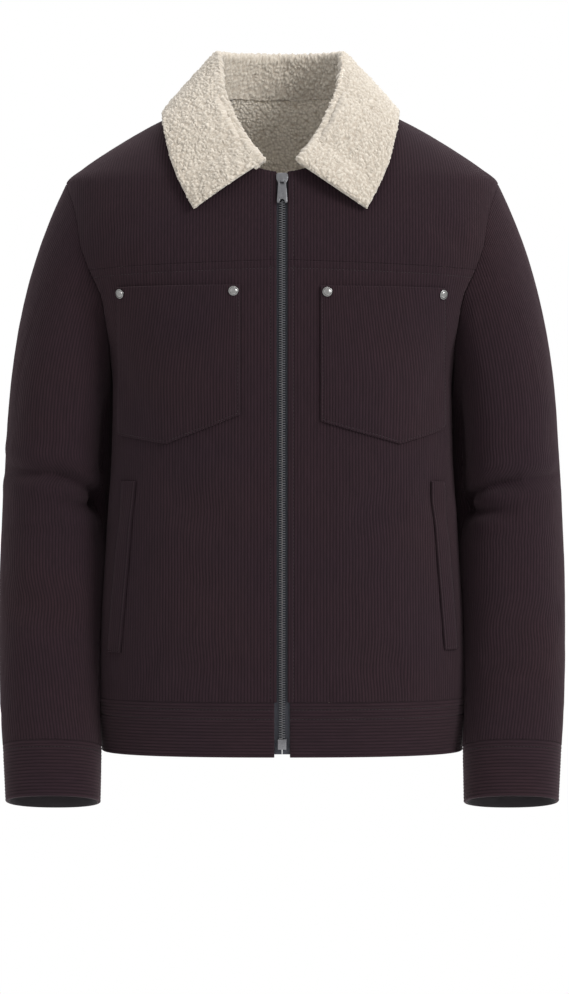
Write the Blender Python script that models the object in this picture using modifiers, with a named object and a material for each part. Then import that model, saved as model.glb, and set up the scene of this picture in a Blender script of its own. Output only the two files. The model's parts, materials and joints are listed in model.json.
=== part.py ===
"""A sherpa lined jacket, worn shape, hollow. Metres, +Z up, the front faces -Y.

The origin is between the shoulders, at the height where the shoulder seams meet the neck.
The body is a stack of level rings worked out from a short table. The panels are patches of
that one surface, and every seam between two panels is left 0.3 mm open.
"""
import bpy
import bmesh
from collections import namedtuple
from math import atan2, copysign, cos, exp, pi, radians, sin, sqrt
from mathutils import Matrix, Vector

# ---------------------------------------------------------------- driving dimensions
CLOTH = 0.0030              # corduroy with its lining
PATCH = 0.0022              # pocket and welt cloth
PILE = 0.0070               # sherpa collar, both piles
SEAM_GAP = 0.0003
PATCH_LIFT = 0.0006         # from a panel to the back of what is sewn on it
HEM_Z = -0.677
BAND_TOP_Z = -0.621
UNDERARM_Z = -0.278
TIP_Z = -0.090              # shoulder tip
YOKE_CENTRE_Z = -0.177
NECK_DROP = 0.086           # front of the neckline, below the origin
NECK_HALF = 0.078
NECK_TOP_Z = -0.006         # neck end of the shoulder seam
NECK_BACK_RISE = 0.014
FRONT_EDGE = 0.0055         # front edge of a front, from the middle
BAND_EDGE = 0.0078
SHOULDER_SEAM_FORWARD = 0.010
ARMHOLE_FRONT = 0.072
ARMHOLE_BACK = 0.078
CUFF_LENGTH = 0.056
RIVET_RADIUS = 0.0049
RIVET_HEIGHT = 0.0024
RIVET_DOWN = 0.0065         # rivet's middle, from the pocket's top and its two sides
RIVET_IN = 0.0065
RIVET_OUT = 0.0042
RIVET_LIFT = 0.0004

BodyRing = namedtuple("BodyRing", "z half_width front back squareness")
BODY = (
    BodyRing(-0.700, 0.1860, 0.121, 0.111, 2.6),
    BodyRing(-0.677, 0.1872, 0.124, 0.114, 2.6),
    BodyRing(-0.650, 0.1890, 0.128, 0.117, 2.6),
    BodyRing(-0.621, 0.1912, 0.131, 0.120, 2.6),
    BodyRing(-0.550, 0.1890, 0.134, 0.120, 2.6),
    BodyRing(-0.450, 0.1820, 0.134, 0.116, 2.6),
    BodyRing(-0.360, 0.1765, 0.135, 0.117, 2.6),
    BodyRing(-0.300, 0.1755, 0.137, 0.121, 2.6),
    BodyRing(-0.270, 0.1790, 0.136, 0.123, 2.6),
    BodyRing(-0.240, 0.1890, 0.135, 0.125, 2.6),
    BodyRing(-0.210, 0.2009, 0.132, 0.126, 2.6),
    BodyRing(-0.184, 0.2165, 0.129, 0.126, 2.6),
    BodyRing(-0.156, 0.2262, 0.125, 0.124, 2.6),
    BodyRing(-0.130, 0.2272, 0.119, 0.120, 2.55),
    BodyRing(-0.110, 0.2265, 0.113, 0.115, 2.5),
    BodyRing(-0.090, 0.2240, 0.106, 0.109, 2.45),
    BodyRing(-0.075, 0.2070, 0.100, 0.104, 2.4),
    BodyRing(-0.054, 0.1760, 0.091, 0.096, 2.35),
    BodyRing(-0.033, 0.1410, 0.080, 0.087, 2.3),
    BodyRing(-0.012, 0.1000, 0.068, 0.076, 2.2),
    BodyRing(0.000, 0.0800, 0.061, 0.070, 2.15),
    BodyRing(0.015, 0.0640, 0.052, 0.062, 2.1),
)

SleeveRing = namedtuple("SleeveRing", "z outer inner middle_y half_depth tilt")
SLEEVE = (
    SleeveRing(-0.340, 0.2855, 0.1725, 0.002, 0.0800, 0.0),
    SleeveRing(-0.400, 0.2893, 0.1750, 0.003, 0.0760, 3.0),
    SleeveRing(-0.440, 0.2910, 0.1780, 0.000, 0.0715, 7.0),
    SleeveRing(-0.500, 0.2925, 0.1820, -0.011, 0.0660, 11.0),
    SleeveRing(-0.580, 0.2915, 0.1860, -0.029, 0.0570, 13.0),
    SleeveRing(-0.640, 0.2888, 0.1865, -0.043, 0.0500, 13.0),
    SleeveRing(-0.673, 0.2862, 0.1850, -0.051, 0.0470, 13.0),
    SleeveRing(-0.735, 0.2820, 0.1855, -0.065, 0.0450, 13.0),
)
SLEEVE_JOIN_Z = SLEEVE[0].z
SLEEVE_SQUARENESS = 2.25
SLEEVE_RADIUS = 0.060        # about half the sleeve's width, turns folds' degrees into metres
CAP_LEAN = (0.50, 0.28)      # how far the sleeve leaves sideways, over the shoulder and under the arm
UNDERARM_TUCK = 0.33         # how much less right under the arm, where it falls along the body
CAP_FULLNESS = 1.08
SLEEVE_REST = 0.0012         # from the body to a sleeve that rests against it
SLEEVE_SOFT = 0.0020         # how softly the sleeve's inner side bends away from the body
CUFF_TOP_Z = -0.6705

# A fold: a soft trough from one point to another, deepest in its middle.
BodyFold = namedtuple("BodyFold", "x z to_x to_z depth width")
FRONT_FOLDS = (
    BodyFold(-0.120, -0.415, -0.050, -0.440, 0.0030, 0.018),
    BodyFold(0.060, -0.445, 0.125, -0.420, 0.0028, 0.018),
    BodyFold(-0.120, -0.592, -0.040, -0.578, 0.0030, 0.018),
    BodyFold(0.050, -0.580, 0.125, -0.594, 0.0030, 0.018),
)
BACK_FOLDS = (
    BodyFold(-0.165, -0.250, -0.080, -0.330, 0.0045, 0.020),
    BodyFold(0.165, -0.245, 0.090, -0.335, 0.0045, 0.018),
    BodyFold(-0.140, -0.470, -0.020, -0.500, 0.0040, 0.024),
    BodyFold(0.030, -0.540, 0.140, -0.515, 0.0040, 0.022),
    BodyFold(-0.060, -0.590, 0.040, -0.597, 0.0030, 0.018),
)
SleeveFold = namedtuple("SleeveFold", "side turn z to_turn to_z depth width")
SLEEVE_FOLDS = (
    SleeveFold(-1, 5, -0.381, 115, -0.399, 0.0055, 0.010),
    SleeveFold(-1, 85, -0.394, 165, -0.420, 0.0065, 0.010),
    SleeveFold(-1, 90, -0.429, 172, -0.420, 0.0075, 0.011),
    SleeveFold(-1, 285, -0.352, 355, -0.380, 0.0040, 0.012),
    SleeveFold(-1, 190, -0.368, 262, -0.402, 0.0055, 0.011),
    SleeveFold(-1, 10, -0.235, 80, -0.310, 0.0045, 0.018),
    SleeveFold(-1, 30, -0.515, 125, -0.565, 0.0040, 0.016),
    SleeveFold(-1, 195, -0.520, 265, -0.560, 0.0040, 0.018),
    SleeveFold(1, 15, -0.390, 110, -0.406, 0.0050, 0.010),
    SleeveFold(1, 80, -0.401, 165, -0.420, 0.0065, 0.010),
    SleeveFold(1, 85, -0.436, 170, -0.428, 0.0070, 0.010),
    SleeveFold(1, 285, -0.360, 355, -0.388, 0.0040, 0.012),
    SleeveFold(1, 188, -0.374, 258, -0.406, 0.0055, 0.011),
    SleeveFold(1, 10, -0.250, 85, -0.320, 0.0045, 0.018),
    SleeveFold(1, 35, -0.540, 130, -0.590, 0.0040, 0.016),
    SleeveFold(1, 195, -0.530, 262, -0.575, 0.0040, 0.018),
)

# The collar, right half, from the middle of the back to the front end. The neck turn is
# along the neckline, in degrees from the middle of the back.
CollarStation = namedtuple("CollarStation", "turn roll_x roll_y roll_z edge_x edge_y edge_z")
COLLAR = (
    CollarStation(0, 0.0000, 0.0600, 0.0500, 0.0000, 0.1240, -0.0420),
    CollarStation(40, 0.0370, 0.0500, 0.0495, 0.0650, 0.1170, -0.0430),
    CollarStation(70, 0.0600, 0.0270, 0.0480, 0.1030, 0.0800, -0.0330),
    CollarStation(90, 0.0645, 0.0030, 0.0455, 0.1160, 0.0200, -0.0170),
    CollarStation(115, 0.0625, -0.0350, 0.0160, 0.1165, -0.0500, -0.0340),
    CollarStation(140, 0.0520, -0.0680, -0.0200, 0.1110, -0.0900, -0.0660),
    CollarStation(160, 0.0385, -0.0890, -0.0480, 0.1000, -0.1070, -0.0950),
    CollarStation(180, 0.0170, -0.1140, -0.0770, 0.0850, -0.1180, -0.1240),
)
ROLL_RADIUS = 0.0045
STAND_GAP = 0.0016          # from the neckline to the end of the collar cloth
FALL_CLEARANCE = 0.0052     # from the body to the middle of the collar cloth
FALL_BULGE = 0.0042
FRONT_STAND_END = 0.012     # front end of the collar, from the middle
COLLAR_SHIFT = -0.002       # the collar sits a little to the left
SHOULDER_TURN = 88          # neck turns of the shoulder seam and of the corner in front of it
NECK_CORNER_TURN = 98

ChestPocket = namedtuple("ChestPocket", "side inner outer top inner_foot point_x point outer_foot")
CHEST_POCKETS = (
    ChestPocket(-1, 0.0420, 0.1665, -0.2025, -0.3325, 0.1090, -0.3615, -0.3510),
    ChestPocket(1, 0.0385, 0.1655, -0.2035, -0.3390, 0.1110, -0.3615, -0.3440),
)
Welt = namedtuple("Welt", "side top_z top_x foot_z foot_x width")
WELTS = (
    Welt(-1, -0.399, 0.1475, -0.573, 0.1630, 0.024),
    Welt(1, -0.399, 0.1500, -0.570, 0.1640, 0.024),
)

# Zip, as depths out from the face of the fronts.
TAPE_DEPTH = -0.0034
TAPE_THICK = 0.0010
TAPE_HALF_GAP = 0.0020
TAPE_OUTER = 0.0150
CHAIN_HALF = 0.0033
CHAIN_FACE = 0.0002
CHAIN_BACK = -0.0029
CHAIN_TOP_Z = -0.0932
CHAIN_FOOT_Z = -0.6575
TAPE_TOP_Z = -0.0866
TAPE_FOOT_Z = -0.6740
BOX_FOOT_Z = -0.6688
BOX_HALF = 0.0044
SLIDER_Z = -0.0955
PLATE_FACE = 0.0021
PLATE_BACK = 0.0005
REAR_PLATE_FACE = -0.0048
REAR_PLATE_BACK = -0.0062
POST_HALF = 0.0014
BAIL_HALF = 0.0015
BAIL_HIGH = 0.0058
BAIL_GAP_HIGH = 0.0046
PIN_UP = -0.00175           # pull tab's pin, up from the slider's middle
PIN_DEPTH = 0.00335
PULL_THICK = 0.0015
PULL_LENGTH = 0.0245
PULL_REST_TILT = 3.0

FRONT_COLUMNS = 12
BACK_COLUMNS = 18
SLEEVE_STEP = 18
SLEEVE_SEAM_INNER = 162
SLEEVE_SEAM_BACK = 270
CAP_STEPS = 7
CUFF_RIM_ROWS = (0.0, 0.5, 1.0)

SIDE_ROWS = (BAND_TOP_Z, -0.588, -0.552, -0.508, -0.464, -0.420, -0.385, -0.352, -0.322, -0.302, -0.289, UNDERARM_Z)
ARMHOLE_TURNS = (180, 162, 144, 126, 108, 90, 72, 54, 36, 18, 0)
NECK_TURNS = (0, 22, 40, 54, 66, 78, 86)
SLEEVE_ROWS = (-0.362, -0.374, -0.383, -0.391, -0.399, -0.407, -0.415, -0.423, -0.431, -0.440,
               -0.462, -0.495, -0.530, -0.565, -0.600, -0.635, CUFF_TOP_Z)

CORDUROY = (0.030, 0.017, 0.021)
BAND_CORDUROY = (0.028, 0.016, 0.020)
SHERPA = (0.72, 0.66, 0.57)
TAPE = (0.030, 0.032, 0.045)
GUNMETAL = (0.10, 0.10, 0.11)
STEEL = (0.42, 0.42, 0.43)

# ---------------------------------------------------------------- smooth tables


def smooth_at(rows, at, column, key="z"):
    """Reads a column of a table between its rows, without overshoot."""
    places = [getattr(row, key) for row in rows]
    values = [getattr(row, column) for row in rows]
    if places[0] > places[-1]:
        places.reverse()
        values.reverse()
    if at <= places[0]:
        return values[0]
    if at >= places[-1]:
        return values[-1]
    i = max(n for n in range(len(places) - 1) if places[n] <= at)
    slopes = [(values[n + 1] - values[n]) / (places[n + 1] - places[n]) for n in range(len(places) - 1)]

    def tangent(n):
        if n == 0 or n == len(places) - 1:
            return slopes[min(n, len(slopes) - 1)]
        before, after = slopes[n - 1], slopes[n]
        return 0.0 if before * after <= 0 else 2.0 * before * after / (before + after)

    step = places[i + 1] - places[i]
    t = (at - places[i]) / step
    return ((1 + 2 * t) * (1 - t) ** 2 * values[i] + t * (1 - t) ** 2 * step * tangent(i)
            + t * t * (3 - 2 * t) * values[i + 1] - t * t * (1 - t) * step * tangent(i + 1))


def mix(a, b, t):
    return a + (b - a) * t


def ease(t):
    t = min(1.0, max(0.0, t))
    return t * t * (3 - 2 * t)


def trough(x, z, fold_from, fold_to, depth, width):
    """Depth of one soft fold at a point, with a low ridge along its upper side."""
    along = Vector((fold_to[0] - fold_from[0], fold_to[1] - fold_from[1]))
    place = Vector((x - fold_from[0], z - fold_from[1]))
    t = place.dot(along) / along.length_squared
    across = (place.x * along.y - place.y * along.x) / along.length
    if not 0.0 < t < 1.0:
        return 0.0
    fade = sin(pi * t) ** 0.7
    dip = exp(-(across / width) ** 2)
    swell = 0.30 * exp(-((abs(across) - 1.9 * width) / width) ** 2)
    return depth * fade * (swell - dip)


# ---------------------------------------------------------------- the body surface


def ring(z):
    return BodyRing(z, *(smooth_at(BODY, z, name) for name in BodyRing._fields[1:]))


def body_folds(x, y, z):
    table = FRONT_FOLDS if y < 0 else BACK_FOLDS
    near_side = ease((abs(y) - 0.010) / 0.040)
    return near_side * sum(trough(x, z, (f.x, f.z), (f.to_x, f.to_z), f.depth, f.width) for f in table)


def body_point(turn, z):
    """A point of the body; turn 0 is the middle front, +90 degrees the right side."""
    r = ring(z)
    depth = r.front if cos(turn) > 0 else r.back
    n = r.squareness
    radius = ((abs(cos(turn)) / depth) ** n + (abs(sin(turn)) / r.half_width) ** n) ** (-1.0 / n)
    x, y = radius * sin(turn), -radius * cos(turn)
    radius += body_folds(x, y, z)
    return Vector((radius * sin(turn), -radius * cos(turn), z))


def body_normal(turn, z):
    small = 0.0008
    around = body_point(turn + small / 0.1, z) - body_point(turn - small / 0.1, z)
    upward = body_point(turn, z + small) - body_point(turn, z - small)
    normal = around.cross(upward).normalized()
    outward = Vector((sin(turn), -cos(turn), 0.0))
    return normal if normal.dot(outward) > 0 else -normal


def turn_at_x(x, z):
    """The turn on the front of the body where it is x from the middle."""
    r = ring(z)
    share = min(0.9999, abs(x) / r.half_width)
    y = r.front * (1 - share ** r.squareness) ** (1 / r.squareness)
    return copysign(atan2(abs(x), y), x)


def turn_at_y(y, z, side):
    """The turn at the side of the body where its depth is y."""
    r = ring(z)
    depth = r.front if y < 0 else r.back
    share = min(0.9999, abs(y) / depth)
    x = r.half_width * (1 - share ** r.squareness) ** (1 / r.squareness)
    return side * atan2(x, -y)


def armhole_z(turn):
    middle = (TIP_Z + UNDERARM_Z) / 2
    return middle + (TIP_Z - UNDERARM_Z) / 2 * cos(radians(turn))


def armhole_turn(turn, side):
    """Turn on the body of the armhole; 0 is the shoulder tip, 90 front, 180 underarm, 270 back."""
    wave = sin(radians(turn))
    y = -ARMHOLE_FRONT * wave ** 0.9 if wave > 1e-9 else ARMHOLE_BACK * max(0.0, -wave) ** 0.9
    return turn_at_y(y if abs(y) > 1e-6 else -1e-6, armhole_z(turn), side)


def armhole_point(turn, side):
    return body_point(armhole_turn(turn, side), armhole_z(turn))


def neck_x(z):
    return NECK_HALF * sqrt(max(0.0, 1 - (z / NECK_DROP) ** 2))


def shoulder_turn(z, side):
    forward = SHOULDER_SEAM_FORWARD * ease((z - TIP_Z) / 0.02)
    return turn_at_y(-max(1e-6, forward), z, side)


# ---------------------------------------------------------------- the sleeve surface


def beside_body(point):
    """Moves a sleeve's point out of the body that the sleeve rests against."""
    turn = atan2(point.x, -point.y)
    normal = body_normal(turn, point.z)
    excess = SLEEVE_REST - (point - body_point(turn, point.z)).dot(normal)
    return point + normal * (excess + sqrt(excess * excess + SLEEVE_SOFT ** 2)) / 2


def sleeve_ring_point(turn, z, side):
    """A point of the sleeve below the cap; turn 0 is the outer side, 90 the front."""
    r = SleeveRing(z, *(smooth_at(SLEEVE, z, name) for name in SleeveRing._fields[1:]))
    angle = radians(turn)
    half = (r.outer - r.inner) / 2
    n = SLEEVE_SQUARENESS
    radius = ((abs(cos(angle)) / half) ** n + (abs(sin(angle)) / r.half_depth) ** n) ** (-1.0 / n)
    for f in SLEEVE_FOLDS:
        if f.side == side:
            arc = radians((turn - f.turn + 180) % 360 - 180) * SLEEVE_RADIUS
            to_arc = radians(f.to_turn - f.turn) * SLEEVE_RADIUS
            radius += trough(arc, z, (0.0, f.z), (to_arc, f.to_z), f.depth, f.width)
    back = -radius * sin(angle)
    x = (r.outer + r.inner) / 2 + radius * cos(angle)
    y = r.middle_y + back * cos(radians(r.tilt))
    return beside_body(Vector((side * x, y, z - back * sin(radians(r.tilt)))))


def sleeve_point(turn, down, side):
    """down 0 to 1 runs from the armhole to the join, and past 1 it is a height."""
    if down < 0:
        return sleeve_ring_point(turn, down, side)
    start = armhole_point(turn, side)
    end = sleeve_ring_point(turn, SLEEVE_JOIN_Z, side)
    under = (1 - cos(radians(turn))) / 2
    lean = mix(*CAP_LEAN, under) - UNDERARM_TUCK * under ** 4
    leave = Vector((side * lean, 0.0, -1.0)).normalized()
    below = sleeve_ring_point(turn, SLEEVE_JOIN_Z - 0.01, side)
    arrive = (below - end).normalized()
    reach = (end - start).length
    t = down
    return ((1 + 2 * t) * (1 - t) ** 2 * start + t * (1 - t) ** 2 * CAP_FULLNESS * reach * leave
            + t * t * (3 - 2 * t) * end - t * t * (1 - t) * reach * arrive)


def sleeve_normal(turn, down, side):
    """Out from the sleeve; turn and down run one way round, so the product has one sign."""
    if down >= 0:
        low, high = max(0.0, down - 0.01), min(1.0, down + 0.01)
    else:
        low, high = down + 0.0008, down - 0.0008
    around = sleeve_point(turn + 1, down, side) - sleeve_point(turn - 1, down, side)
    along = sleeve_point(turn, high, side) - sleeve_point(turn, low, side)
    return side * around.cross(along).normalized()


def armhole_normal(turn, side):
    """The one direction in which both walls end at the armhole seam."""
    body = body_normal(armhole_turn(turn, side), armhole_z(turn))
    sleeve = sleeve_normal(turn, 0.06, side)
    return (body + sleeve).normalized()


# ---------------------------------------------------------------- walls


RIM_ORDER = Vector((0.31, 0.47, 0.83))


def border_of(rows, columns):
    """The border of an open grid, once round."""
    foot = [(0, c) for c in range(columns)]
    end = [(r, columns - 1) for r in range(1, rows)]
    top = [(rows - 1, c) for c in range(columns - 2, -1, -1)]
    start = [(r, 0) for r in range(rows - 2, 0, -1)]
    return foot + end + top + start


def inset(points, normals, loop, inside):
    """Draws a border loop in by half a seam gap, towards the grid's own inside."""
    count = len(loop)
    moves = {}
    middle = points[inside[0]][inside[1]]
    first = points[loop[0][0]][loop[0][1]]
    second = points[loop[1][0]][loop[1][1]]
    third = points[loop[2][0]][loop[2][1]]
    across = normals[loop[1][0]][loop[1][1]].cross(third - first)
    turn = 1.0 if across.dot(middle - second) > 0 else -1.0
    for k, (r, c) in enumerate(loop):
        before, after = loop[k - 1], loop[(k + 1) % count]
        here = points[r][c]
        come = (here - points[before[0]][before[1]]).normalized()
        leave = (points[after[0]][after[1]] - here).normalized()
        one = turn * normals[r][c].cross(come).normalized()
        two = turn * normals[r][c].cross(leave).normalized()
        share = max(0.35, 1.0 + one.dot(two))
        moves[(r, c)] = (one + two) / share * (SEAM_GAP / 2)
    for (r, c), move in moves.items():
        points[r][c] = points[r][c] + move


def finish_object(name, mesh, colour, roughness, metallic=0.0, smooth=True):
    data = bpy.data.meshes.new(name)
    mesh.to_mesh(data)
    mesh.free()
    thing = bpy.data.objects.new(name, data)
    GARMENT.objects.link(thing)
    give_material(thing, colour, roughness, metallic)
    if smooth:
        data.shade_smooth()
        data.set_sharp_from_angle(angle=radians(40))
    return thing


def give_material(thing, colour, roughness, metallic):
    material = bpy.data.materials.new(thing.name)
    material.use_nodes = True
    shader = material.node_tree.nodes["Principled BSDF"]
    shader.inputs["Base Color"].default_value = (*colour, 1.0)
    shader.inputs["Roughness"].default_value = roughness
    shader.inputs["Metallic"].default_value = metallic
    thing.data.materials.clear()
    thing.data.materials.append(material)


def rim_faces(mesh, one, two, under_two, under_one):
    """Two triangles whose diagonal is the same on both sides of a seam."""
    if RIM_ORDER.dot(one.co) < RIM_ORDER.dot(two.co):
        mesh.faces.new((one, two, under_two))
        mesh.faces.new((one, under_two, under_one))
    else:
        mesh.faces.new((two, under_two, under_one))
        mesh.faces.new((two, under_one, one))


def wall(name, outer, inner, colour, roughness=0.9, around=False):
    """A closed wall between two grids; around joins the last column to the first."""
    rows, columns = len(outer), len(outer[0])
    mesh = bmesh.new()
    face = [[mesh.verts.new(p) for p in row] for row in outer]
    back = [[mesh.verts.new(p) for p in row] for row in inner]
    spans = columns if around else columns - 1
    for r in range(rows - 1):
        for c in range(spans):
            d = (c + 1) % columns
            mesh.faces.new((face[r][c], face[r][d], face[r + 1][d], face[r + 1][c]))
            mesh.faces.new((back[r][c], back[r + 1][c], back[r + 1][d], back[r][d]))
    if around:
        loops = [[(r, c) for c in range(columns)] for r in (0, rows - 1)]
    else:
        loops = [border_of(rows, columns)]
    for loop in loops:
        for k, (r, c) in enumerate(loop):
            s, e = loop[(k + 1) % len(loop)]
            rim_faces(mesh, face[r][c], face[s][e], back[s][e], back[r][c])
    bmesh.ops.recalc_face_normals(mesh, faces=mesh.faces)
    return finish_object(name, mesh, colour, roughness)


def panel(name, points, normals, thickness, colour, around=False):
    """A sewn piece: its grid is drawn in at the seams, and its wall goes inwards."""
    rows, columns = len(points), len(points[0])
    points = [list(row) for row in points]
    if around:
        inset(points, normals, [(0, c) for c in range(columns)], (1, 1))
        inset(points, normals, [(rows - 1, c) for c in range(columns)], (rows - 2, 1))
    else:
        inset(points, normals, border_of(rows, columns), (1, 1))
    inner = [[p - n * thickness for p, n in zip(*pair)] for pair in zip(points, normals)]
    return wall(name, points, inner, colour, around=around)


def patch(name, grid, lift, thickness, colour):
    """A piece that lies on the body: grid holds turns and heights."""
    outer, inner = [], []
    for row in grid:
        frames = [(body_point(turn, z), body_normal(turn, z)) for turn, z in row]
        outer.append([p + n * (lift + thickness) for p, n in frames])
        inner.append([p + n * lift for p, n in frames])
    return wall(name, outer, inner, colour)


# ---------------------------------------------------------------- body panels


def centre_z(side_z):
    """Height at the middle front of the row that ends at side_z."""
    if side_z <= UNDERARM_Z:
        return side_z
    yoke_side = armhole_z(90)
    return side_z + (YOKE_CENTRE_Z - yoke_side) * (side_z - UNDERARM_Z) / (yoke_side - UNDERARM_Z)


def panel_row(start, end, columns, end_normal=None):
    """A row of points and normals from one turn and height to another."""
    points, normals = [], []
    for c in range(columns + 1):
        t = c / columns
        turn, z = mix(start[0], end[0], t), mix(start[1], end[1], t)
        points.append(body_point(turn, z))
        normals.append(body_normal(turn, z))
    if end_normal is not None:
        normals[-1] = end_normal
    return points, normals


def front_rows(side):
    """The lower front, from the waistband seam up to the yoke seam."""
    rows = []
    for z in SIDE_ROWS[:-1]:
        rows.append(panel_row((side * turn_at_x(FRONT_EDGE, z), z), (side * pi / 2, z), FRONT_COLUMNS))
    for turn in (t for t in ARMHOLE_TURNS if t >= 90):
        z = armhole_z(turn)
        start = (side * turn_at_x(FRONT_EDGE, centre_z(z)), centre_z(z))
        end = (armhole_turn(turn, side), z)
        rows.append(panel_row(start, end, FRONT_COLUMNS, armhole_normal(turn, side)))
    return rows


def yoke_rows(side):
    """The yoke, from the yoke seam to the shoulder seam."""
    rows = []
    lowest, highest = armhole_z(90), TIP_Z
    for turn in (t for t in ARMHOLE_TURNS if t <= 90):
        z = armhole_z(turn)
        middle = mix(YOKE_CENTRE_Z, -NECK_DROP, (z - lowest) / (highest - lowest))
        start = (side * turn_at_x(FRONT_EDGE, middle), middle)
        end = (armhole_turn(turn, side), z)
        rows.append(panel_row(start, end, FRONT_COLUMNS, armhole_normal(turn, side)))
    for turn in NECK_TURNS[1:]:
        z = -NECK_DROP * cos(radians(turn))
        start = (side * turn_at_x(neck_x(z), z), z)
        rows.append(panel_row(start, (shoulder_turn(z, side), z), FRONT_COLUMNS))
    return rows


def back_turns(side_turn):
    """Turns from the left side round the back to the right side."""
    start, end = 2 * pi - side_turn, side_turn
    return [mix(start, end, c / BACK_COLUMNS) for c in range(BACK_COLUMNS + 1)]


def back_rows():
    rows = []

    def row(side_turn, height, end_normals=None):
        turns = back_turns(side_turn)
        points = [body_point(t, height(t)) for t in turns]
        normals = [body_normal(t, height(t)) for t in turns]
        if end_normals:
            normals[0], normals[-1] = end_normals
        rows.append((points, normals))

    for z in SIDE_ROWS[:-1]:
        row(pi / 2, lambda t, z=z: z)
    for turn in ARMHOLE_TURNS:
        z, behind = armhole_z(turn), 360 - turn
        ends = (armhole_normal(behind, -1), armhole_normal(behind, 1))
        row(armhole_turn(behind, 1) % (2 * pi), lambda t, z=z: z, ends)
    for turn in NECK_TURNS[1:]:
        z = -NECK_DROP * cos(radians(turn))
        lift = NECK_BACK_RISE * ease((z + 0.045) / 0.039)

        def height(t, z=z, lift=lift):
            return z + lift * ease((abs(sin(t - pi / 2)) - 0.25) / 0.6)

        row(shoulder_turn(z, 1), height)
    return rows


def split(rows):
    return [points for points, normals in rows], [normals for points, normals in rows]


def make_body():
    for side, word in ((-1, "left"), (1, "right")):
        panel("front_" + word, *split(front_rows(side)), CLOTH, CORDUROY)
        panel("front_yoke_" + word, *split(yoke_rows(side)), CLOTH, CORDUROY)
    panel("back", *split(back_rows()), CLOTH, CORDUROY)


def make_waistband():
    heights = (HEM_Z, mix(HEM_Z, BAND_TOP_Z, 0.5), BAND_TOP_Z)
    for side, word in ((-1, "left"), (1, "right")):
        rows = []
        for z in heights:
            rows.append(panel_row((side * turn_at_x(BAND_EDGE, z), z), (side * pi / 2, z), FRONT_COLUMNS))
        panel("waistband_" + word, *split(rows), CLOTH, BAND_CORDUROY)
    rows = []
    for z in heights:
        turns = back_turns(pi / 2)
        rows.append(([body_point(t, z) for t in turns], [body_normal(t, z) for t in turns]))
    panel("waistband_back", *split(rows), CLOTH, BAND_CORDUROY)


# ---------------------------------------------------------------- sleeves and cuffs


def sleeve_rows(turns, side):
    rows = []
    for step in range(CAP_STEPS + 1):
        down = step / CAP_STEPS
        points = [sleeve_point(turn, down, side) for turn in turns]
        normals = [armhole_normal(turn, side) if step == 0 else sleeve_normal(turn, down, side)
                   for turn in turns]
        rows.append((points, normals))
    for z in SLEEVE_ROWS:
        rows.append(([sleeve_point(turn, z, side) for turn in turns],
                     [sleeve_normal(turn, z, side) for turn in turns]))
    return rows


def make_sleeves():
    top_turns = range(SLEEVE_SEAM_BACK - 360, SLEEVE_SEAM_INNER + 1, SLEEVE_STEP)
    under_turns = range(SLEEVE_SEAM_INNER, SLEEVE_SEAM_BACK + 1, SLEEVE_STEP)
    for side, word in ((-1, "left"), (1, "right")):
        top = [turn % 360 for turn in top_turns]
        panel("top_sleeve_" + word, *split(sleeve_rows(top, side)), CLOTH, CORDUROY)
        panel("under_sleeve_" + word, *split(sleeve_rows(under_turns, side)), CLOTH, CORDUROY)
        rows = []
        for share in CUFF_RIM_ROWS:
            z = CUFF_TOP_Z - CUFF_LENGTH * share
            turns = range(0, 360, SLEEVE_STEP)
            rows.append(([sleeve_point(turn, z, side) for turn in turns],
                         [sleeve_normal(turn, z, side) for turn in turns]))
        panel("cuff_" + word, *split(rows), CLOTH, BAND_CORDUROY, around=True)


# ---------------------------------------------------------------- the collar


def neck_seam(turn):
    """The neckline; turn 0 is the middle back, 180 the middle front, right side."""
    top_x = neck_x(NECK_TOP_Z)
    if turn < SHOULDER_TURN:
        share = turn / SHOULDER_TURN
        rise = NECK_BACK_RISE * ease((cos(pi / 2 * share) - 0.25) / 0.6)
        return body_point(mix(pi, shoulder_turn(NECK_TOP_Z, 1), share), NECK_TOP_Z + rise)
    if turn < NECK_CORNER_TURN:
        share = (turn - SHOULDER_TURN) / (NECK_CORNER_TURN - SHOULDER_TURN)
        ends = shoulder_turn(NECK_TOP_Z, 1), turn_at_x(top_x, NECK_TOP_Z)
        return body_point(mix(*ends, share), NECK_TOP_Z)
    share = (turn - NECK_CORNER_TURN) / (180 - NECK_CORNER_TURN)
    z = -NECK_DROP * sin(radians(mix(4.0, 72.0, share)))
    return body_point(turn_at_x(max(FRONT_STAND_END, neck_x(z)), z), z)


def stand_foot(turn, seam, towards):
    """Where the collar cloth starts: beyond the neckline's edge, square end and all."""
    along = neck_seam(min(180, turn + 1)) - neck_seam(max(0, turn - 1))
    body_turn = atan2(seam.x, -seam.y)
    out = body_normal(body_turn, seam.z)
    across = out.cross(along).normalized()
    if across.dot(Vector((seam.x, seam.y, -1.0))) > 0:
        across = -across
    edge = seam - out * (CLOTH / 2)
    direction = (towards - edge).normalized()
    lean = (direction - across * direction.dot(across)).length
    return edge + across * (STAND_GAP + PILE / 2 * lean)


def clear_of_body(point, clearance):
    """Moves a point out along the normal until it is clear of the body."""
    if point.z > BODY[-1].z:
        return point
    for _ in range(2):
        turn = atan2(point.x, -point.y)
        normal = body_normal(turn, point.z)
        distance = (point - body_point(turn, point.z)).dot(normal)
        point = point + normal * max(0.0, clearance - distance)
    return point


STAND_STEPS = 3
ROLL_STEPS = 4
FALL_STEPS = 6


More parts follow.
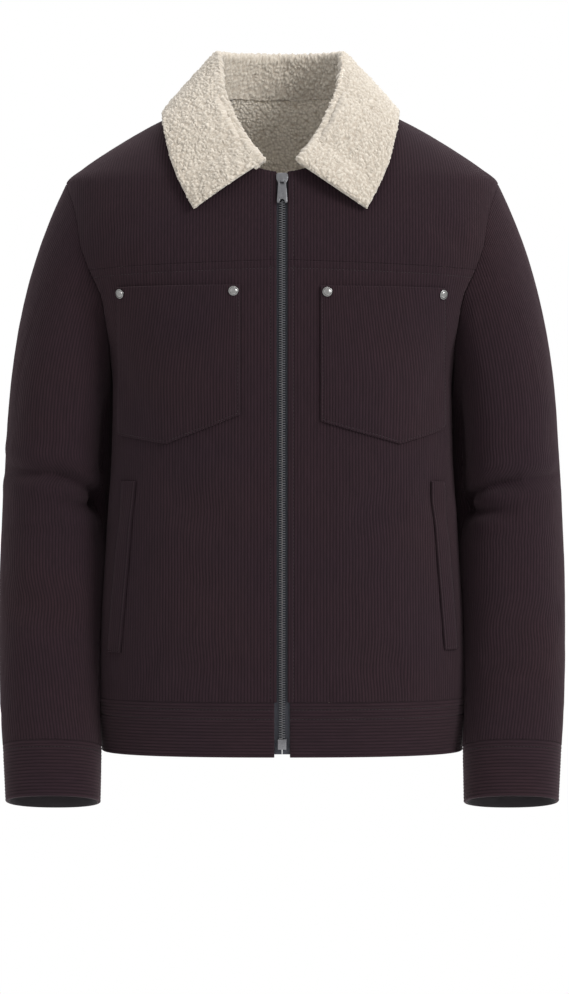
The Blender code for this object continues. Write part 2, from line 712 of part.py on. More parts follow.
def collar_section(turn, side):
    """The middle of the collar cloth, from the neck seam over the roll to the outer edge."""
    shift = Vector((side * COLLAR_SHIFT, 0.0, 0.0))
    value = {name: smooth_at(COLLAR, turn, name, "turn") for name in CollarStation._fields[1:]}
    roll = Vector((value["roll_x"], value["roll_y"], value["roll_z"])) + shift
    edge = Vector((value["edge_x"], value["edge_y"], value["edge_z"])) + shift
    edge = clear_of_body(edge, FALL_CLEARANCE)
    seam = neck_seam(turn)
    to_seam, to_edge = (seam - roll).normalized(), (edge - roll).normalized()
    crest = -(to_seam + to_edge).normalized()
    spread = (to_edge - to_seam)
    spread = (spread - crest * spread.dot(crest)).normalized()
    heart = roll - crest * ROLL_RADIUS
    inner, outer = heart - spread * ROLL_RADIUS, heart + spread * ROLL_RADIUS
    start = stand_foot(turn, seam, inner)
    points = [mix(start, inner, k / STAND_STEPS) for k in range(STAND_STEPS)]
    for k in range(ROLL_STEPS + 1):
        angle = pi * k / ROLL_STEPS
        points.append(heart - spread * ROLL_RADIUS * cos(angle) + crest * ROLL_RADIUS * sin(angle))
    bulge = (spread + crest * 0.4).normalized() * FALL_BULGE
    for k in range(1, FALL_STEPS + 1):
        t = k / FALL_STEPS
        point = mix(outer, edge, t) + bulge * 4 * t * (1 - t)
        points.append(clear_of_body(point, FALL_CLEARANCE))
    return points


COLLAR_TURNS = (0, 14, 28, 42, 55, 67, 78, SHOULDER_TURN, NECK_CORNER_TURN, 107, 116, 126, 136, 146, 156, 165,
                173, 180)


def make_collar():
    left = [collar_section(turn, -1) for turn in reversed(COLLAR_TURNS[1:])]
    grid = [[Vector((-p.x, p.y, p.z)) for p in row] for row in left]
    grid += [collar_section(turn, 1) for turn in COLLAR_TURNS]
    rows, columns = len(grid), len(grid[0])
    outer, inner = [], []
    for r in range(rows):
        outer.append([])
        inner.append([])
        for c in range(columns):
            along = grid[min(r + 1, rows - 1)][c] - grid[max(r - 1, 0)][c]
            across = grid[r][min(c + 1, columns - 1)] - grid[r][max(c - 1, 0)]
            normal = along.cross(across).normalized()
            outer[-1].append(grid[r][c] + normal * PILE / 2)
            inner[-1].append(grid[r][c] - normal * PILE / 2)
    wall("collar", outer, inner, SHERPA)


# ---------------------------------------------------------------- pockets, welts and rivets


def chest_pocket_grid(pocket):
    across, up = 9, 8
    point_share = (pocket.point_x - pocket.inner) / (pocket.outer - pocket.inner)
    shares = sorted([c / across for c in range(across + 1) if abs(c / across - point_share) > 0.06]
                    + [point_share])
    grid = []
    for r in range(up + 1):
        row = []
        for u in shares:
            if u <= point_share:
                foot = mix(pocket.inner_foot, pocket.point, u / point_share)
            else:
                foot = mix(pocket.point, pocket.outer_foot, (u - point_share) / (1 - point_share))
            z = mix(foot, pocket.top, r / up)
            start, end = turn_at_x(pocket.inner, z), turn_at_x(pocket.outer, z)
            row.append((pocket.side * mix(start, end, u), z))
        grid.append(row)
    return grid


def welt_grid(welt):
    grid = []
    steps = 9
    for r in range(steps + 1):
        t = r / steps
        z = mix(welt.foot_z, welt.top_z, t)
        start = turn_at_x(mix(welt.foot_x, welt.top_x, t), z)
        end = start + welt.width / body_point(start, z).xy.length
        row = []
        for u in (0.0, 0.5, 1.0):
            row.append((welt.side * mix(start, end, u), z))
        grid.append(row)
    return grid


def rivet(name, turn, z, lift):
    """A turned dome, set on the pocket with its axis along the cloth's normal."""
    profile = bmesh.new()
    outline = ((0.0, 1.0), (0.35, 0.96), (0.66, 0.80), (0.80, 0.50), (0.84, 0.42), (1.0, 0.36),
               (1.0, 0.0), (0.0, 0.0))
    points = [profile.verts.new((x * RIVET_RADIUS, 0.0, h * RIVET_HEIGHT)) for x, h in outline]
    for one, two in zip(points, points[1:]):
        profile.edges.new((one, two))
    thing = finish_object(name, profile, STEEL, 0.35, 1.0, smooth=False)
    screw = thing.modifiers.new("turned", "SCREW")
    screw.steps = 14
    screw.render_steps = 14
    screw.use_merge_vertices = True
    screw.merge_threshold = 0.00005
    screw.use_smooth_shade = True
    normal = body_normal(turn, z)
    place = body_point(turn, z) + normal * lift
    thing.matrix_world = Matrix.Translation(place) @ normal.to_track_quat("Z", "Y").to_matrix().to_4x4()
    return thing


def make_pockets():
    for pocket in CHEST_POCKETS:
        word = "left" if pocket.side < 0 else "right"
        patch("chest_pocket_" + word, chest_pocket_grid(pocket), PATCH_LIFT, PATCH, CORDUROY)
        lift = PATCH_LIFT + PATCH + RIVET_LIFT
        z = pocket.top - RIVET_DOWN
        inner = turn_at_x(pocket.inner + RIVET_IN, z)
        outer = turn_at_x(pocket.outer - RIVET_OUT, z)
        rivet("rivet_%s_inner" % word, pocket.side * inner, z, lift)
        rivet("rivet_%s_outer" % word, pocket.side * outer, z, lift)
    for welt in WELTS:
        word = "left" if welt.side < 0 else "right"
        patch("hand_pocket_welt_" + word, welt_grid(welt), PATCH_LIFT, PATCH, CORDUROY)


# ---------------------------------------------------------------- the zip


def zip_point(x, z, depth):
    """A point x from the middle, depth out from the face of the fronts."""
    turn = copysign(turn_at_x(abs(x), z), x)
    return body_point(turn, z) + body_normal(turn, z) * depth


def zip_heights(foot, top):
    rows = [HEM_Z, mix(HEM_Z, BAND_TOP_Z, 0.5)] + [centre_z(z) for z in SIDE_ROWS]
    rows += [centre_z(armhole_z(t)) for t in ARMHOLE_TURNS if 90 <= t < 180]
    lowest = armhole_z(90)
    for turn in (t for t in ARMHOLE_TURNS if t < 90):
        share = (armhole_z(turn) - lowest) / (TIP_Z - lowest)
        rows.append(mix(YOKE_CENTRE_Z, -NECK_DROP, share))
    between = [z for z in rows if foot + 0.004 < z < top - 0.004]
    return [foot] + between + [top]


def zip_strip(name, inner_x, outer_x, foot, top, face, back, colour, roughness, metallic=0.0):
    heights = zip_heights(foot, top)
    outer = [[zip_point(x, z, face) for x in (inner_x, outer_x)] for z in heights]
    inner = [[zip_point(x, z, back) for x in (inner_x, outer_x)] for z in heights]
    thing = wall(name, outer, inner, colour, roughness)
    thing.data.materials[0].node_tree.nodes["Principled BSDF"].inputs["Metallic"].default_value = metallic
    return thing


def front_frame(z):
    """Axes at the middle front: X to the right, Y up along the cloth, Z out from it."""
    out = body_normal(0.0, z)
    right = Vector((1.0, 0.0, 0.0))
    up = out.cross(right).normalized()
    frame = Matrix((right, up, out)).transposed().to_4x4()
    frame.translation = body_point(0.0, z)
    return frame


def plate(outline, low, high, frame, holes=()):
    """A flat plate, a closed mesh, with its outline drawn in the frame's X and Y."""
    curve = bpy.data.curves.new("outline", "CURVE")
    curve.dimensions = "2D"
    curve.fill_mode = "BOTH"
    curve.extrude = (high - low) / 2
    for ring_points in (outline, *holes):
        spline = curve.splines.new("POLY")
        spline.points.add(len(ring_points) - 1)
        spline.use_cyclic_u = True
        for spot, (x, y) in zip(spline.points, ring_points):
            spot.co = (x, y, 0.0, 1.0)
    guide = bpy.data.objects.new("outline", curve)
    GARMENT.objects.link(guide)
    guide.matrix_world = frame @ Matrix.Translation((0.0, 0.0, (low + high) / 2))
    bpy.context.view_layer.update()
    solid = bpy.data.meshes.new_from_object(guide.evaluated_get(bpy.context.evaluated_depsgraph_get()))
    mesh = bmesh.new()
    mesh.from_mesh(solid)
    mesh.transform(guide.matrix_world)
    bmesh.ops.remove_doubles(mesh, verts=mesh.verts, dist=0.00001)
    bmesh.ops.recalc_face_normals(mesh, faces=mesh.faces)
    bpy.data.objects.remove(guide)
    bpy.data.curves.remove(curve)
    bpy.data.meshes.remove(solid)
    return mesh


def joined(name, first, others, colour, roughness, metallic):
    """One body from overlapping parts, by Boolean union."""
    thing = finish_object(name, first, colour, roughness, metallic, smooth=False)
    for number, other in enumerate(others):
        tool = finish_object("%s_part_%d" % (name, number), other, colour, roughness, metallic, smooth=False)
        GARMENT.objects.unlink(tool)
        CUTTERS.objects.link(tool)
        tool.hide_render = True
        tool.display_type = "WIRE"
        union = thing.modifiers.new("joined", "BOOLEAN")
        union.operation = "UNION"
        union.object = tool
    return thing


def bar(x_half, y_low, y_high, low, high, frame):
    return plate(((-x_half, y_low), (x_half, y_low), (x_half, y_high), (-x_half, y_high)), low, high, frame)


def make_zip():
    for side, word in ((-1, "left"), (1, "right")):
        zip_strip("zip_tape_" + word, side * TAPE_HALF_GAP, side * TAPE_OUTER, TAPE_FOOT_Z, TAPE_TOP_Z,
                  TAPE_DEPTH, TAPE_DEPTH - TAPE_THICK, TAPE, 0.85)
    zip_strip("zip_chain", -CHAIN_HALF, CHAIN_HALF, CHAIN_FOOT_Z, CHAIN_TOP_Z,
              CHAIN_FACE, CHAIN_BACK, GUNMETAL, 0.4, 1.0)
    frame = front_frame((CHAIN_FOOT_Z + BOX_FOOT_Z) / 2)
    half_height = (CHAIN_FOOT_Z - BOX_FOOT_Z) / 2 - SEAM_GAP
    box = bar(BOX_HALF, -half_height, half_height, CHAIN_BACK, CHAIN_FACE + 0.0006, frame)
    finish_object("zip_box", box, GUNMETAL, 0.4, 1.0, smooth=False)

    frame = front_frame(SLIDER_Z)
    bell = ((-0.0040, -0.0070), (0.0040, -0.0070), (0.0042, -0.0035), (0.0060, 0.0005), (0.0060, 0.0055),
            (0.0045, 0.0072), (-0.0045, 0.0072), (-0.0060, 0.0055), (-0.0060, 0.0005), (-0.0042, -0.0035))
    leg = 0.0012
    leg_foot, leg_top = PIN_UP - 0.00135 - leg, PIN_UP + 0.00135 + leg
    parts = [
        plate(bell, REAR_PLATE_BACK, REAR_PLATE_FACE, frame),
        bar(POST_HALF, 0.0030, 0.0062, (REAR_PLATE_BACK + REAR_PLATE_FACE) / 2, 0.0012, frame),
        bar(BAIL_HALF, leg_foot, leg_foot + leg, 0.0013, BAIL_HIGH - 0.0005, frame),
        bar(BAIL_HALF, leg_top - leg, leg_top, 0.0013, BAIL_HIGH - 0.0005, frame),
        bar(BAIL_HALF + 0.0001, leg_foot - 0.0001, leg_top + 0.0001, BAIL_GAP_HIGH, BAIL_HIGH, frame),
    ]
    joined("zip_slider", plate(bell, PLATE_BACK, PLATE_FACE, frame), parts, GUNMETAL, 0.35, 1.0)

    pin = frame @ Matrix.Translation((0.0, PIN_UP, PIN_DEPTH))
    hang = pin @ Matrix.Rotation(radians(PULL_REST_TILT), 4, "X")
    half = PULL_THICK / 2
    outline = [(-0.0038, 0.0002), (-0.0030, half), (0.0030, half), (0.0038, 0.0002),
               (0.0053, 0.0012 - PULL_LENGTH), (0.0046, -PULL_LENGTH), (0.0030, -PULL_LENGTH)]
    notch = 0.0026
    for k in range(1, 6):
        angle = pi * k / 6
        outline.append((notch * cos(angle), -PULL_LENGTH + 0.0016 + notch * sin(angle)))
    outline += [(-0.0030, -PULL_LENGTH), (-0.0046, -PULL_LENGTH), (-0.0053, 0.0012 - PULL_LENGTH)]
    eye = ((-0.0019, -half), (-0.0019, -0.0053), (0.0019, -0.0053), (0.0019, -half))
    tab = plate(outline, -half, half, hang, (eye,))
    finish_object("zip_pull", tab, GUNMETAL, 0.35, 1.0, smooth=False)


# ---------------------------------------------------------------- the jacket

for old in list(bpy.data.objects):
    bpy.data.objects.remove(old)
GARMENT = bpy.data.collections.new("sherpa_lined_jacket")
CUTTERS = bpy.data.collections.new("joined_parts")
bpy.context.scene.collection.children.link(GARMENT)
bpy.context.scene.collection.children.link(CUTTERS)

make_body()
make_waistband()
make_sleeves()
make_collar()
make_pockets()
make_zip()
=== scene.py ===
# %% [markdown]
# # A corduroy jacket with a sherpa collar
#
# This lesson dresses a plain, rigid model of a zip-up jacket. The frame that is loaded first holds
# each sewn piece as a coarse solid at its real size. Every cell after it makes one piece or one
# finish again, on the same form but finer: raised wales, rolled edges, stitches, pile and metal.
# All lengths are metres. The front of the jacket faces -Y, and +X is its right side as you face it.

# %% Load the frame
import json
from collections import namedtuple

import bmesh
import bpy
import numpy as np
from mathutils import Matrix, Vector

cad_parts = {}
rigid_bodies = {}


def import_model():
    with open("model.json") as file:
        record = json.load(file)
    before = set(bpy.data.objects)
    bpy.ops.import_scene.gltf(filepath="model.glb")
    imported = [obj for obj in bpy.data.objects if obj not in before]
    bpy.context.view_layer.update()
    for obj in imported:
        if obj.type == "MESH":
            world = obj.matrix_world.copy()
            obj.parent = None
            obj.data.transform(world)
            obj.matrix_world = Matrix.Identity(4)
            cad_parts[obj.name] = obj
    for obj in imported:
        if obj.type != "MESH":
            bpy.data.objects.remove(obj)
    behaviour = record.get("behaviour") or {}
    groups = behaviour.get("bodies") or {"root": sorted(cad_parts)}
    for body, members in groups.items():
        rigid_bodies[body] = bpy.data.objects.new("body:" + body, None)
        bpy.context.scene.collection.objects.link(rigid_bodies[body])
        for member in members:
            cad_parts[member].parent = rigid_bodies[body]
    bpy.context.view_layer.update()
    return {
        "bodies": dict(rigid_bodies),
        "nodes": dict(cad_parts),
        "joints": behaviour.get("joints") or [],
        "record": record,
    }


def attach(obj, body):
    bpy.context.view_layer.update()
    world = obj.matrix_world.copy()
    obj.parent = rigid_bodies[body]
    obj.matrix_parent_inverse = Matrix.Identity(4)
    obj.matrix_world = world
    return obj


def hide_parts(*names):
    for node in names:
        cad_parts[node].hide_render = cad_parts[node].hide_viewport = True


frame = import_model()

# %% [markdown]
# ## Camera
#
# A product picture is taken from far away with a long lens, so that nothing looks bent. The frame's
# height is stated at the jacket's own distance, and the lens follows from it, which makes it easy
# to say how many pixels a piece will cover.

# %% Camera
CAMERA_DISTANCE = 3.5
VIEW_HEIGHT = 1.034
VIEW_MIDDLE_X = 0.0024
VIEW_MIDDLE_Z = -0.415


def add_object(name, data):
    """A new object in the scene."""
    thing = bpy.data.objects.new(name, data)
    bpy.context.scene.collection.objects.link(thing)
    return thing


camera_data = bpy.data.cameras.new("camera")
camera_data.sensor_width = 36.0
camera_data.lens = camera_data.sensor_width * CAMERA_DISTANCE / VIEW_HEIGHT
camera_data.clip_end = 60.0
camera = add_object("camera", camera_data)
camera.location = (VIEW_MIDDLE_X, -CAMERA_DISTANCE, VIEW_MIDDLE_Z)
camera.rotation_euler = (np.pi / 2, 0.0, 0.0)
bpy.context.scene.camera = camera
print("lens", round(camera_data.lens, 1), "mm")

# %% [markdown]
# ## Light and floor
#
# Dark ribbed cloth shows its form only where light grazes it. A strong lamp stands high on the
# right, a weak one on the left, and two above and behind draw the outline. The world is white, like
# a studio's paper, and fills the shadows.

# %% Light and floor
LIGHTS = {
    "key": ((2.6, -2.3, 1.4), 1.4, 130.0),
    "fill": ((-2.2, -2.5, 0.8), 1.8, 6.0),
    "top": ((0.2, 0.5, 2.4), 1.4, 34.0),
    "back": ((0.6, 2.6, 0.6), 1.8, 30.0),
}
LIGHT_AIM = Vector((0.0, 0.0, -0.35))
FLOOR_Z = -1.46
FLOOR_RADIUS = 2.2


def lamp(name, place, size, power):
    """A square area lamp that looks at the middle of the jacket."""
    data = bpy.data.lights.new(name, "AREA")
    data.size = size
    data.energy = power
    thing = add_object(name, data)
    thing.location = place
    thing.rotation_euler = (LIGHT_AIM - Vector(place)).to_track_quat("-Z", "Y").to_euler()


for name, facts in LIGHTS.items():
    lamp(name, *facts)

world = bpy.data.worlds.new("studio")
world.use_nodes = True
background = world.node_tree.nodes["Background"].inputs
background["Color"].default_value = (1.0, 1.0, 1.0, 1.0)
background["Strength"].default_value = 1.0
bpy.context.scene.world = world
bpy.context.scene.view_settings.view_transform = "Standard"

floor_mesh = bmesh.new()
bmesh.ops.create_circle(floor_mesh, cap_ends=True, segments=96, radius=FLOOR_RADIUS)
floor_data = bpy.data.meshes.new("floor")
floor_mesh.to_mesh(floor_data)
floor_mesh.free()
floor = add_object("floor", floor_data)
floor.location.z = FLOOR_Z
print("floor at", FLOOR_Z)

# %% [markdown]
# ## The jacket's shape, as tables
#
# A tailor thinks in a few measures: how wide and how deep the body is at the waist, the chest and
# the shoulder. Each row below is such a level ring, and everything between two rows is read from a
# smooth curve. The same rings and folds made the solids, so the fine pieces fall on them. The fine
# creases are added here.

# %% Measures of the body
CLOTH = 0.0030
PATCH = 0.0022
PATCH_LIFT = 0.0006
PILE = 0.0070
HALF_GAP = 0.00002
HEM_Z = -0.677
BAND_TOP_Z = -0.621
UNDERARM_Z = -0.278
TIP_Z = -0.090
YOKE_CENTRE_Z = -0.177
NECK_DROP = 0.086
NECK_HALF = 0.078
NECK_TOP_Z = -0.006
NECK_BACK_RISE = 0.014
SHOULDER_SEAM_FORWARD = 0.010
FRONT_EDGE = 0.0055
BAND_EDGE = 0.0078
ARMHOLE_FRONT = 0.072
ARMHOLE_BACK = 0.078

SIDES = ((-1, "left"), (1, "right"))


def rows_of(fields, *rows):
    """A table whose columns have names."""
    row_type = namedtuple("Row", fields)
    return [row_type(*row) for row in rows]


BODY = rows_of(
    "z half_width front back squareness",
    (-0.700, 0.1860, 0.121, 0.111, 2.6),
    (-0.677, 0.1872, 0.124, 0.114, 2.6),
    (-0.650, 0.1890, 0.128, 0.117, 2.6),
    (-0.621, 0.1912, 0.131, 0.120, 2.6),
    (-0.550, 0.1890, 0.134, 0.120, 2.6),
    (-0.450, 0.1820, 0.134, 0.116, 2.6),
    (-0.360, 0.1765, 0.135, 0.117, 2.6),
    (-0.300, 0.1755, 0.137, 0.121, 2.6),
    (-0.270, 0.1790, 0.136, 0.123, 2.6),
    (-0.240, 0.1890, 0.135, 0.125, 2.6),
    (-0.210, 0.2009, 0.132, 0.126, 2.6),
    (-0.184, 0.2165, 0.129, 0.126, 2.6),
    (-0.156, 0.2262, 0.125, 0.124, 2.6),
    (-0.130, 0.2272, 0.119, 0.120, 2.55),
    (-0.110, 0.2265, 0.113, 0.115, 2.5),
    (-0.090, 0.2240, 0.106, 0.109, 2.45),
    (-0.075, 0.2070, 0.100, 0.104, 2.4),
    (-0.054, 0.1760, 0.091, 0.096, 2.35),
    (-0.033, 0.1410, 0.080, 0.087, 2.3),
    (-0.012, 0.1000, 0.068, 0.076, 2.2),
    (0.000, 0.0800, 0.061, 0.070, 2.15),
    (0.015, 0.0640, 0.052, 0.062, 2.1),
)
FOLD_FIELDS = "x z to_x to_z depth width"
FRONT_FOLDS = rows_of(
    FOLD_FIELDS,
    (-0.120, -0.415, -0.050, -0.440, 0.0030, 0.018),
    (0.060, -0.445, 0.125, -0.420, 0.0028, 0.018),
    (-0.120, -0.592, -0.040, -0.578, 0.0030, 0.018),
    (0.050, -0.580, 0.125, -0.594, 0.0030, 0.018),
)
BACK_FOLDS = rows_of(
    FOLD_FIELDS,
    (-0.165, -0.250, -0.080, -0.330, 0.0045, 0.020),
    (0.165, -0.245, 0.090, -0.335, 0.0045, 0.018),
    (-0.140, -0.470, -0.020, -0.500, 0.0040, 0.024),
    (0.030, -0.540, 0.140, -0.515, 0.0040, 0.022),
    (-0.060, -0.590, 0.040, -0.597, 0.0030, 0.018),
)
FRONT_CREASES = rows_of(
    FOLD_FIELDS,
    (-0.172, -0.262, -0.128, -0.372, 0.0013, 0.0090),
    (-0.150, -0.395, -0.178, -0.470, 0.0014, 0.0085),
    (-0.105, -0.492, -0.052, -0.508, 0.0010, 0.0100),
    (-0.112, -0.548, -0.148, -0.612, 0.0014, 0.0080),
    (-0.070, -0.596, -0.062, -0.622, 0.0011, 0.0060),
    (0.168, -0.255, 0.138, -0.350, 0.0012, 0.0090),
    (0.140, -0.402, 0.176, -0.455, 0.0015, 0.0080),
    (0.048, -0.515, 0.108, -0.495, 0.0010, 0.0100),
    (0.098, -0.560, 0.132, -0.614, 0.0013, 0.0080),
    (0.044, -0.600, 0.050, -0.622, 0.0010, 0.0060),
    (-0.150, -0.128, -0.196, -0.170, 0.0012, 0.0100),
    (0.146, -0.124, 0.194, -0.176, 0.0012, 0.0100),
)
BACK_CREASES = rows_of(
    FOLD_FIELDS,
    (-0.120, -0.105, -0.190, -0.160, 0.0016, 0.0110),
    (0.112, -0.110, 0.186, -0.168, 0.0015, 0.0110),
    (-0.172, -0.290, -0.120, -0.385, 0.0018, 0.0100),
    (0.174, -0.300, 0.128, -0.372, 0.0017, 0.0100),
    (-0.070, -0.430, 0.010, -0.446, 0.0014, 0.0120),
    (0.060, -0.470, 0.150, -0.452, 0.0016, 0.0110),
    (-0.150, -0.560, -0.096, -0.612, 0.0015, 0.0090),
    (-0.030, -0.590, -0.020, -0.620, 0.0012, 0.0070),
    (0.080, -0.575, 0.112, -0.618, 0.0015, 0.0085),
)
print(len(BODY), "rings,", len(FRONT_FOLDS + BACK_FOLDS), "folds,", end=" ")
print(len(FRONT_CREASES + BACK_CREASES), "fine creases on the body")

# %% [markdown]
# ## Reading a table smoothly
#
# Straight lines between rows would show as bends in the cloth, and an ordinary spline overshoots.
# A monotone cubic does neither. It is written with numpy, so one call reads a whole grid of points.

# %% A table reader and the small curves
FOLD_FADE = 0.7
FOLD_SWELL = 0.30
SWELL_AWAY = 1.9


def hermite(a, b, leave, arrive, t):
    """A smooth way from a to b that leaves and arrives at stated slopes."""
    s = 1 - t
    return (1 + 2 * t) * s ** 2 * a + t * s ** 2 * leave + t * t * (3 - 2 * t) * b - t * t * s * arrive


def reader(rows, key):
    """Returns read(column, where), which reads a table between its rows without overshoot."""
    rows = sorted(rows, key=lambda row: getattr(row, key))
    at = np.array([getattr(row, key) for row in rows], float)
    step = np.diff(at)
    columns = {}
    for name in rows[0]._fields:
        values = np.array([getattr(row, name) for row in rows], float)
        slope = np.diff(values) / step
        before, after = slope[:-1], slope[1:]
        total = np.where(before * after > 0, before + after, 1.0)
        inner = np.where(before * after > 0, 2 * before * after / total, 0.0)
        columns[name] = values, np.concatenate((slope[:1], inner, slope[-1:]))

    def read(column, where):
        values, tangent = columns[column]
        where = np.clip(where, at[0], at[-1])
        i = np.clip(np.searchsorted(at, where, side="right") - 1, 0, len(step) - 1)
        t = (where - at[i]) / step[i]
        return hermite(values[i], values[i + 1], step[i] * tangent[i], step[i] * tangent[i + 1], t)

    return read


def mix(a, b, t):
    return a + (b - a) * t


def ease(t):
    t = np.clip(t, 0.0, 1.0)
    return t * t * (3 - 2 * t)


def bell(distance, width):
    """1 at no distance, and down to nothing a couple of widths away."""
    return np.exp(-(distance / width) ** 2)


def beside(x, z, start, end, power):
    """Distance above a line from start to end, and how deep a fold on it is there."""
    run_x, run_z = end[0] - start[0], end[1] - start[1]
    length = np.hypot(run_x, run_z)
    t = ((x - start[0]) * run_x + (z - start[1]) * run_z) / length ** 2
    above = ((z - start[1]) * run_x - (x - start[0]) * run_z) / length
    return above, np.sin(np.pi * np.clip(t, 0.0, 1.0)) ** power


def trough(x, z, start, end, depth, width):
    """Depth of one soft fold, with a low swell on each side of it."""
    above, fade = beside(x, z, start, end, FOLD_FADE)
    swell = FOLD_SWELL * bell(np.abs(above) - SWELL_AWAY * width, width)
    return depth * fade * (swell - bell(above, width))


body = reader(BODY, "z")
print("half width at the waist", round(float(body("half_width", -0.36)), 4))

# %% [markdown]
# ## The body as a surface
#
# A point of the body is found from a turn about the upright axis and a height: turn 0 is the middle
# front and +90 degrees the right side. Each ring is a superellipse, squarer than an ellipse, as a
# chest is. The normal comes from two tiny steps on the surface, which follows the folds too.

# %% Body surface
NORMAL_STEP = 0.0008
NORMAL_RADIUS = 0.1
FOLDS_FROM_Y = 0.010
FOLDS_FULL_Y = 0.040
NEARLY_ONE = 0.9999
ARMHOLE_ROUND = 0.9
NECK_RISE_FROM = 0.25
NECK_RISE_SPAN = 0.6
SHOULDER_FADE = 0.02
NO_LENGTH = 1e-6


def ring_radius(turn, z):
    n = body("squareness", z)
    depth = np.where(np.cos(turn) > 0, body("front", z), body("back", z))
    wide = np.abs(np.sin(turn)) / body("half_width", z)
    return ((np.abs(np.cos(turn)) / depth) ** n + wide ** n) ** (-1.0 / n)


def placed(turn, radius, z):
    return np.stack(np.broadcast_arrays(radius * np.sin(turn), -radius * np.cos(turn), z), -1)


def body_folds(x, y, z):
    near_side = ease((np.abs(y) - FOLDS_FROM_Y) / FOLDS_FULL_Y)
    sums = [sum(trough(x, z, (f.x, f.z), (f.to_x, f.to_z), f.depth, f.width) for f in table)
            for table in (FRONT_FOLDS + FRONT_CREASES, BACK_FOLDS + BACK_CREASES)]
    return near_side * np.where(y < 0, *sums)


def body_point(turn, z):
    radius = ring_radius(turn, z)
    folds = body_folds(radius * np.sin(turn), -radius * np.cos(turn), z)
    return placed(turn, radius + folds, z)


def unit(v):
    return v / np.maximum(np.linalg.norm(v, axis=-1, keepdims=True), 1e-12)


def body_normal(turn, z):
    twist = NORMAL_STEP / NORMAL_RADIUS
    around = body_point(turn + twist, z) - body_point(turn - twist, z)
    upward = body_point(turn, z + NORMAL_STEP) - body_point(turn, z - NORMAL_STEP)
    return unit(np.cross(around, upward))


def other_side(distance, reach, other_reach, z):
    """The other coordinate of a point of a ring; each reach is where the ring crosses an axis."""
    n = body("squareness", z)
    return other_reach * (1 - np.minimum(NEARLY_ONE, np.abs(distance) / reach) ** n) ** (1 / n)


def turn_at_x(x, z):
    y = other_side(x, body("half_width", z), body("front", z), z)
    return np.arctan2(np.abs(x), y) * np.sign(x)


def turn_at_y(y, z, side):
    depth = np.where(y < 0, body("front", z), body("back", z))
    return side * np.arctan2(other_side(y, depth, body("half_width", z), z), -y)


def armhole_z(turn):
    return mix(TIP_Z, UNDERARM_Z, (1 - np.cos(np.radians(turn))) / 2)


def armhole_turn(turn, side):
    """0 is the shoulder tip, 90 the front, 180 under the arm and 270 the back, in degrees."""
    wave = np.sin(np.radians(turn))
    reach = np.where(wave > 1e-9, -ARMHOLE_FRONT, ARMHOLE_BACK)
    y = reach * np.abs(np.where(wave > 1e-9, wave, np.minimum(wave, 0.0))) ** ARMHOLE_ROUND
    return turn_at_y(np.where(np.abs(y) > NO_LENGTH, y, -NO_LENGTH), armhole_z(turn), side)


def armhole_point(turn, side):
    return body_point(armhole_turn(turn, side), armhole_z(turn))


def neck_x(z):
    return NECK_HALF * np.sqrt(np.maximum(0.0, 1 - (z / NECK_DROP) ** 2))


def neck_rise(behind):
    """How much the neckline rises at the back; behind is 1 in its middle."""
    return NECK_BACK_RISE * ease((behind - NECK_RISE_FROM) / NECK_RISE_SPAN)


def shoulder_turn(z, side):
    forward = SHOULDER_SEAM_FORWARD * ease((z - TIP_Z) / SHOULDER_FADE)
    return turn_at_y(-np.maximum(NO_LENGTH, forward), z, side)


def run_along(points, axis=0):
    """Distance along the columns (axis 0) or rows (axis 1) of a grid, from each one's first point."""
    steps = np.linalg.norm(np.diff(points, axis=axis), axis=-1)
    return np.insert(np.cumsum(steps, axis=axis), 0, 0.0, axis=axis)


chest = body_point(np.linspace(0, 2 * np.pi, 361), -0.30)
print("chest girth", round(run_along(chest)[-1], 3))

# %% [markdown]
# ## Distance along the cloth
#
# Wales lie a constant distance apart on the cloth, so a piece is best laid out by its distance from
# the middle front or the middle back, and not by an angle. These tables hold that distance for many
# turns and heights, and are read both ways: from a turn to a distance, and back.

# %% Distance round the body
LEVELS = np.arange(-0.700, 0.0151, 0.005)
TURNS = np.linspace(0.0, np.pi, 721)
ARC_STEP = 0.0005
ARCS = run_along(placed(TURNS[None], ring_radius(TURNS[None], LEVELS[:, None]), LEVELS[:, None]), 1)
SPACED = np.arange(0.0, 0.62, ARC_STEP)
TURN_OF = np.array([np.interp(SPACED, arcs, TURNS) for arcs in ARCS])
BACK_TURN_OF = np.array([np.interp(SPACED, (arcs[-1] - arcs)[::-1], TURNS[::-1]) for arcs in ARCS])


def sampled(table, row, column):
    """A table read between its rows and columns."""
    row = np.clip(row, 0, table.shape[0] - 1.001)
    column = np.clip(column, 0, table.shape[1] - 1.001)
    r, c = row.astype(int), column.astype(int)
    fr, fc = row - r, column - c
    return mix(mix(table[r, c], table[r, c + 1], fc), mix(table[r + 1, c], table[r + 1, c + 1], fc), fr)


def level_of(z):
    return (np.asarray(z, float) - LEVELS[0]) / (LEVELS[1] - LEVELS[0])


def arc_of(turn, z):
    return sampled(ARCS, *np.broadcast_arrays(level_of(z), np.abs(turn) / (TURNS[1] - TURNS[0])))


def turn_of(arc, z, back=False):
    """The turn at a distance from the middle front, or from the middle back."""
    return sampled(BACK_TURN_OF if back else TURN_OF, *np.broadcast_arrays(level_of(z), arc / ARC_STEP))


def half_girth(z):
    return np.interp(z, LEVELS, ARCS[:, -1])


def from_middle(turn, z, back=False):
    """Distance round the body from the middle front, or from the middle back."""
    return half_girth(z) - arc_of(turn, z) if back else arc_of(turn, z)


print("side seam is", round(float(arc_of(np.pi / 2, -0.45)), 3), "from the middle front")

# %% [markdown]
# ## The sleeve as a surface
#
# A sleeve is a tube of level rings, and above them a cap that leaves the armhole and turns down. Its
# turn 0 is the outer side and 90 the front, in degrees. Where the arm hangs, the sleeve rests on
# the body, so a point that would lie inside the body is moved out beside it.

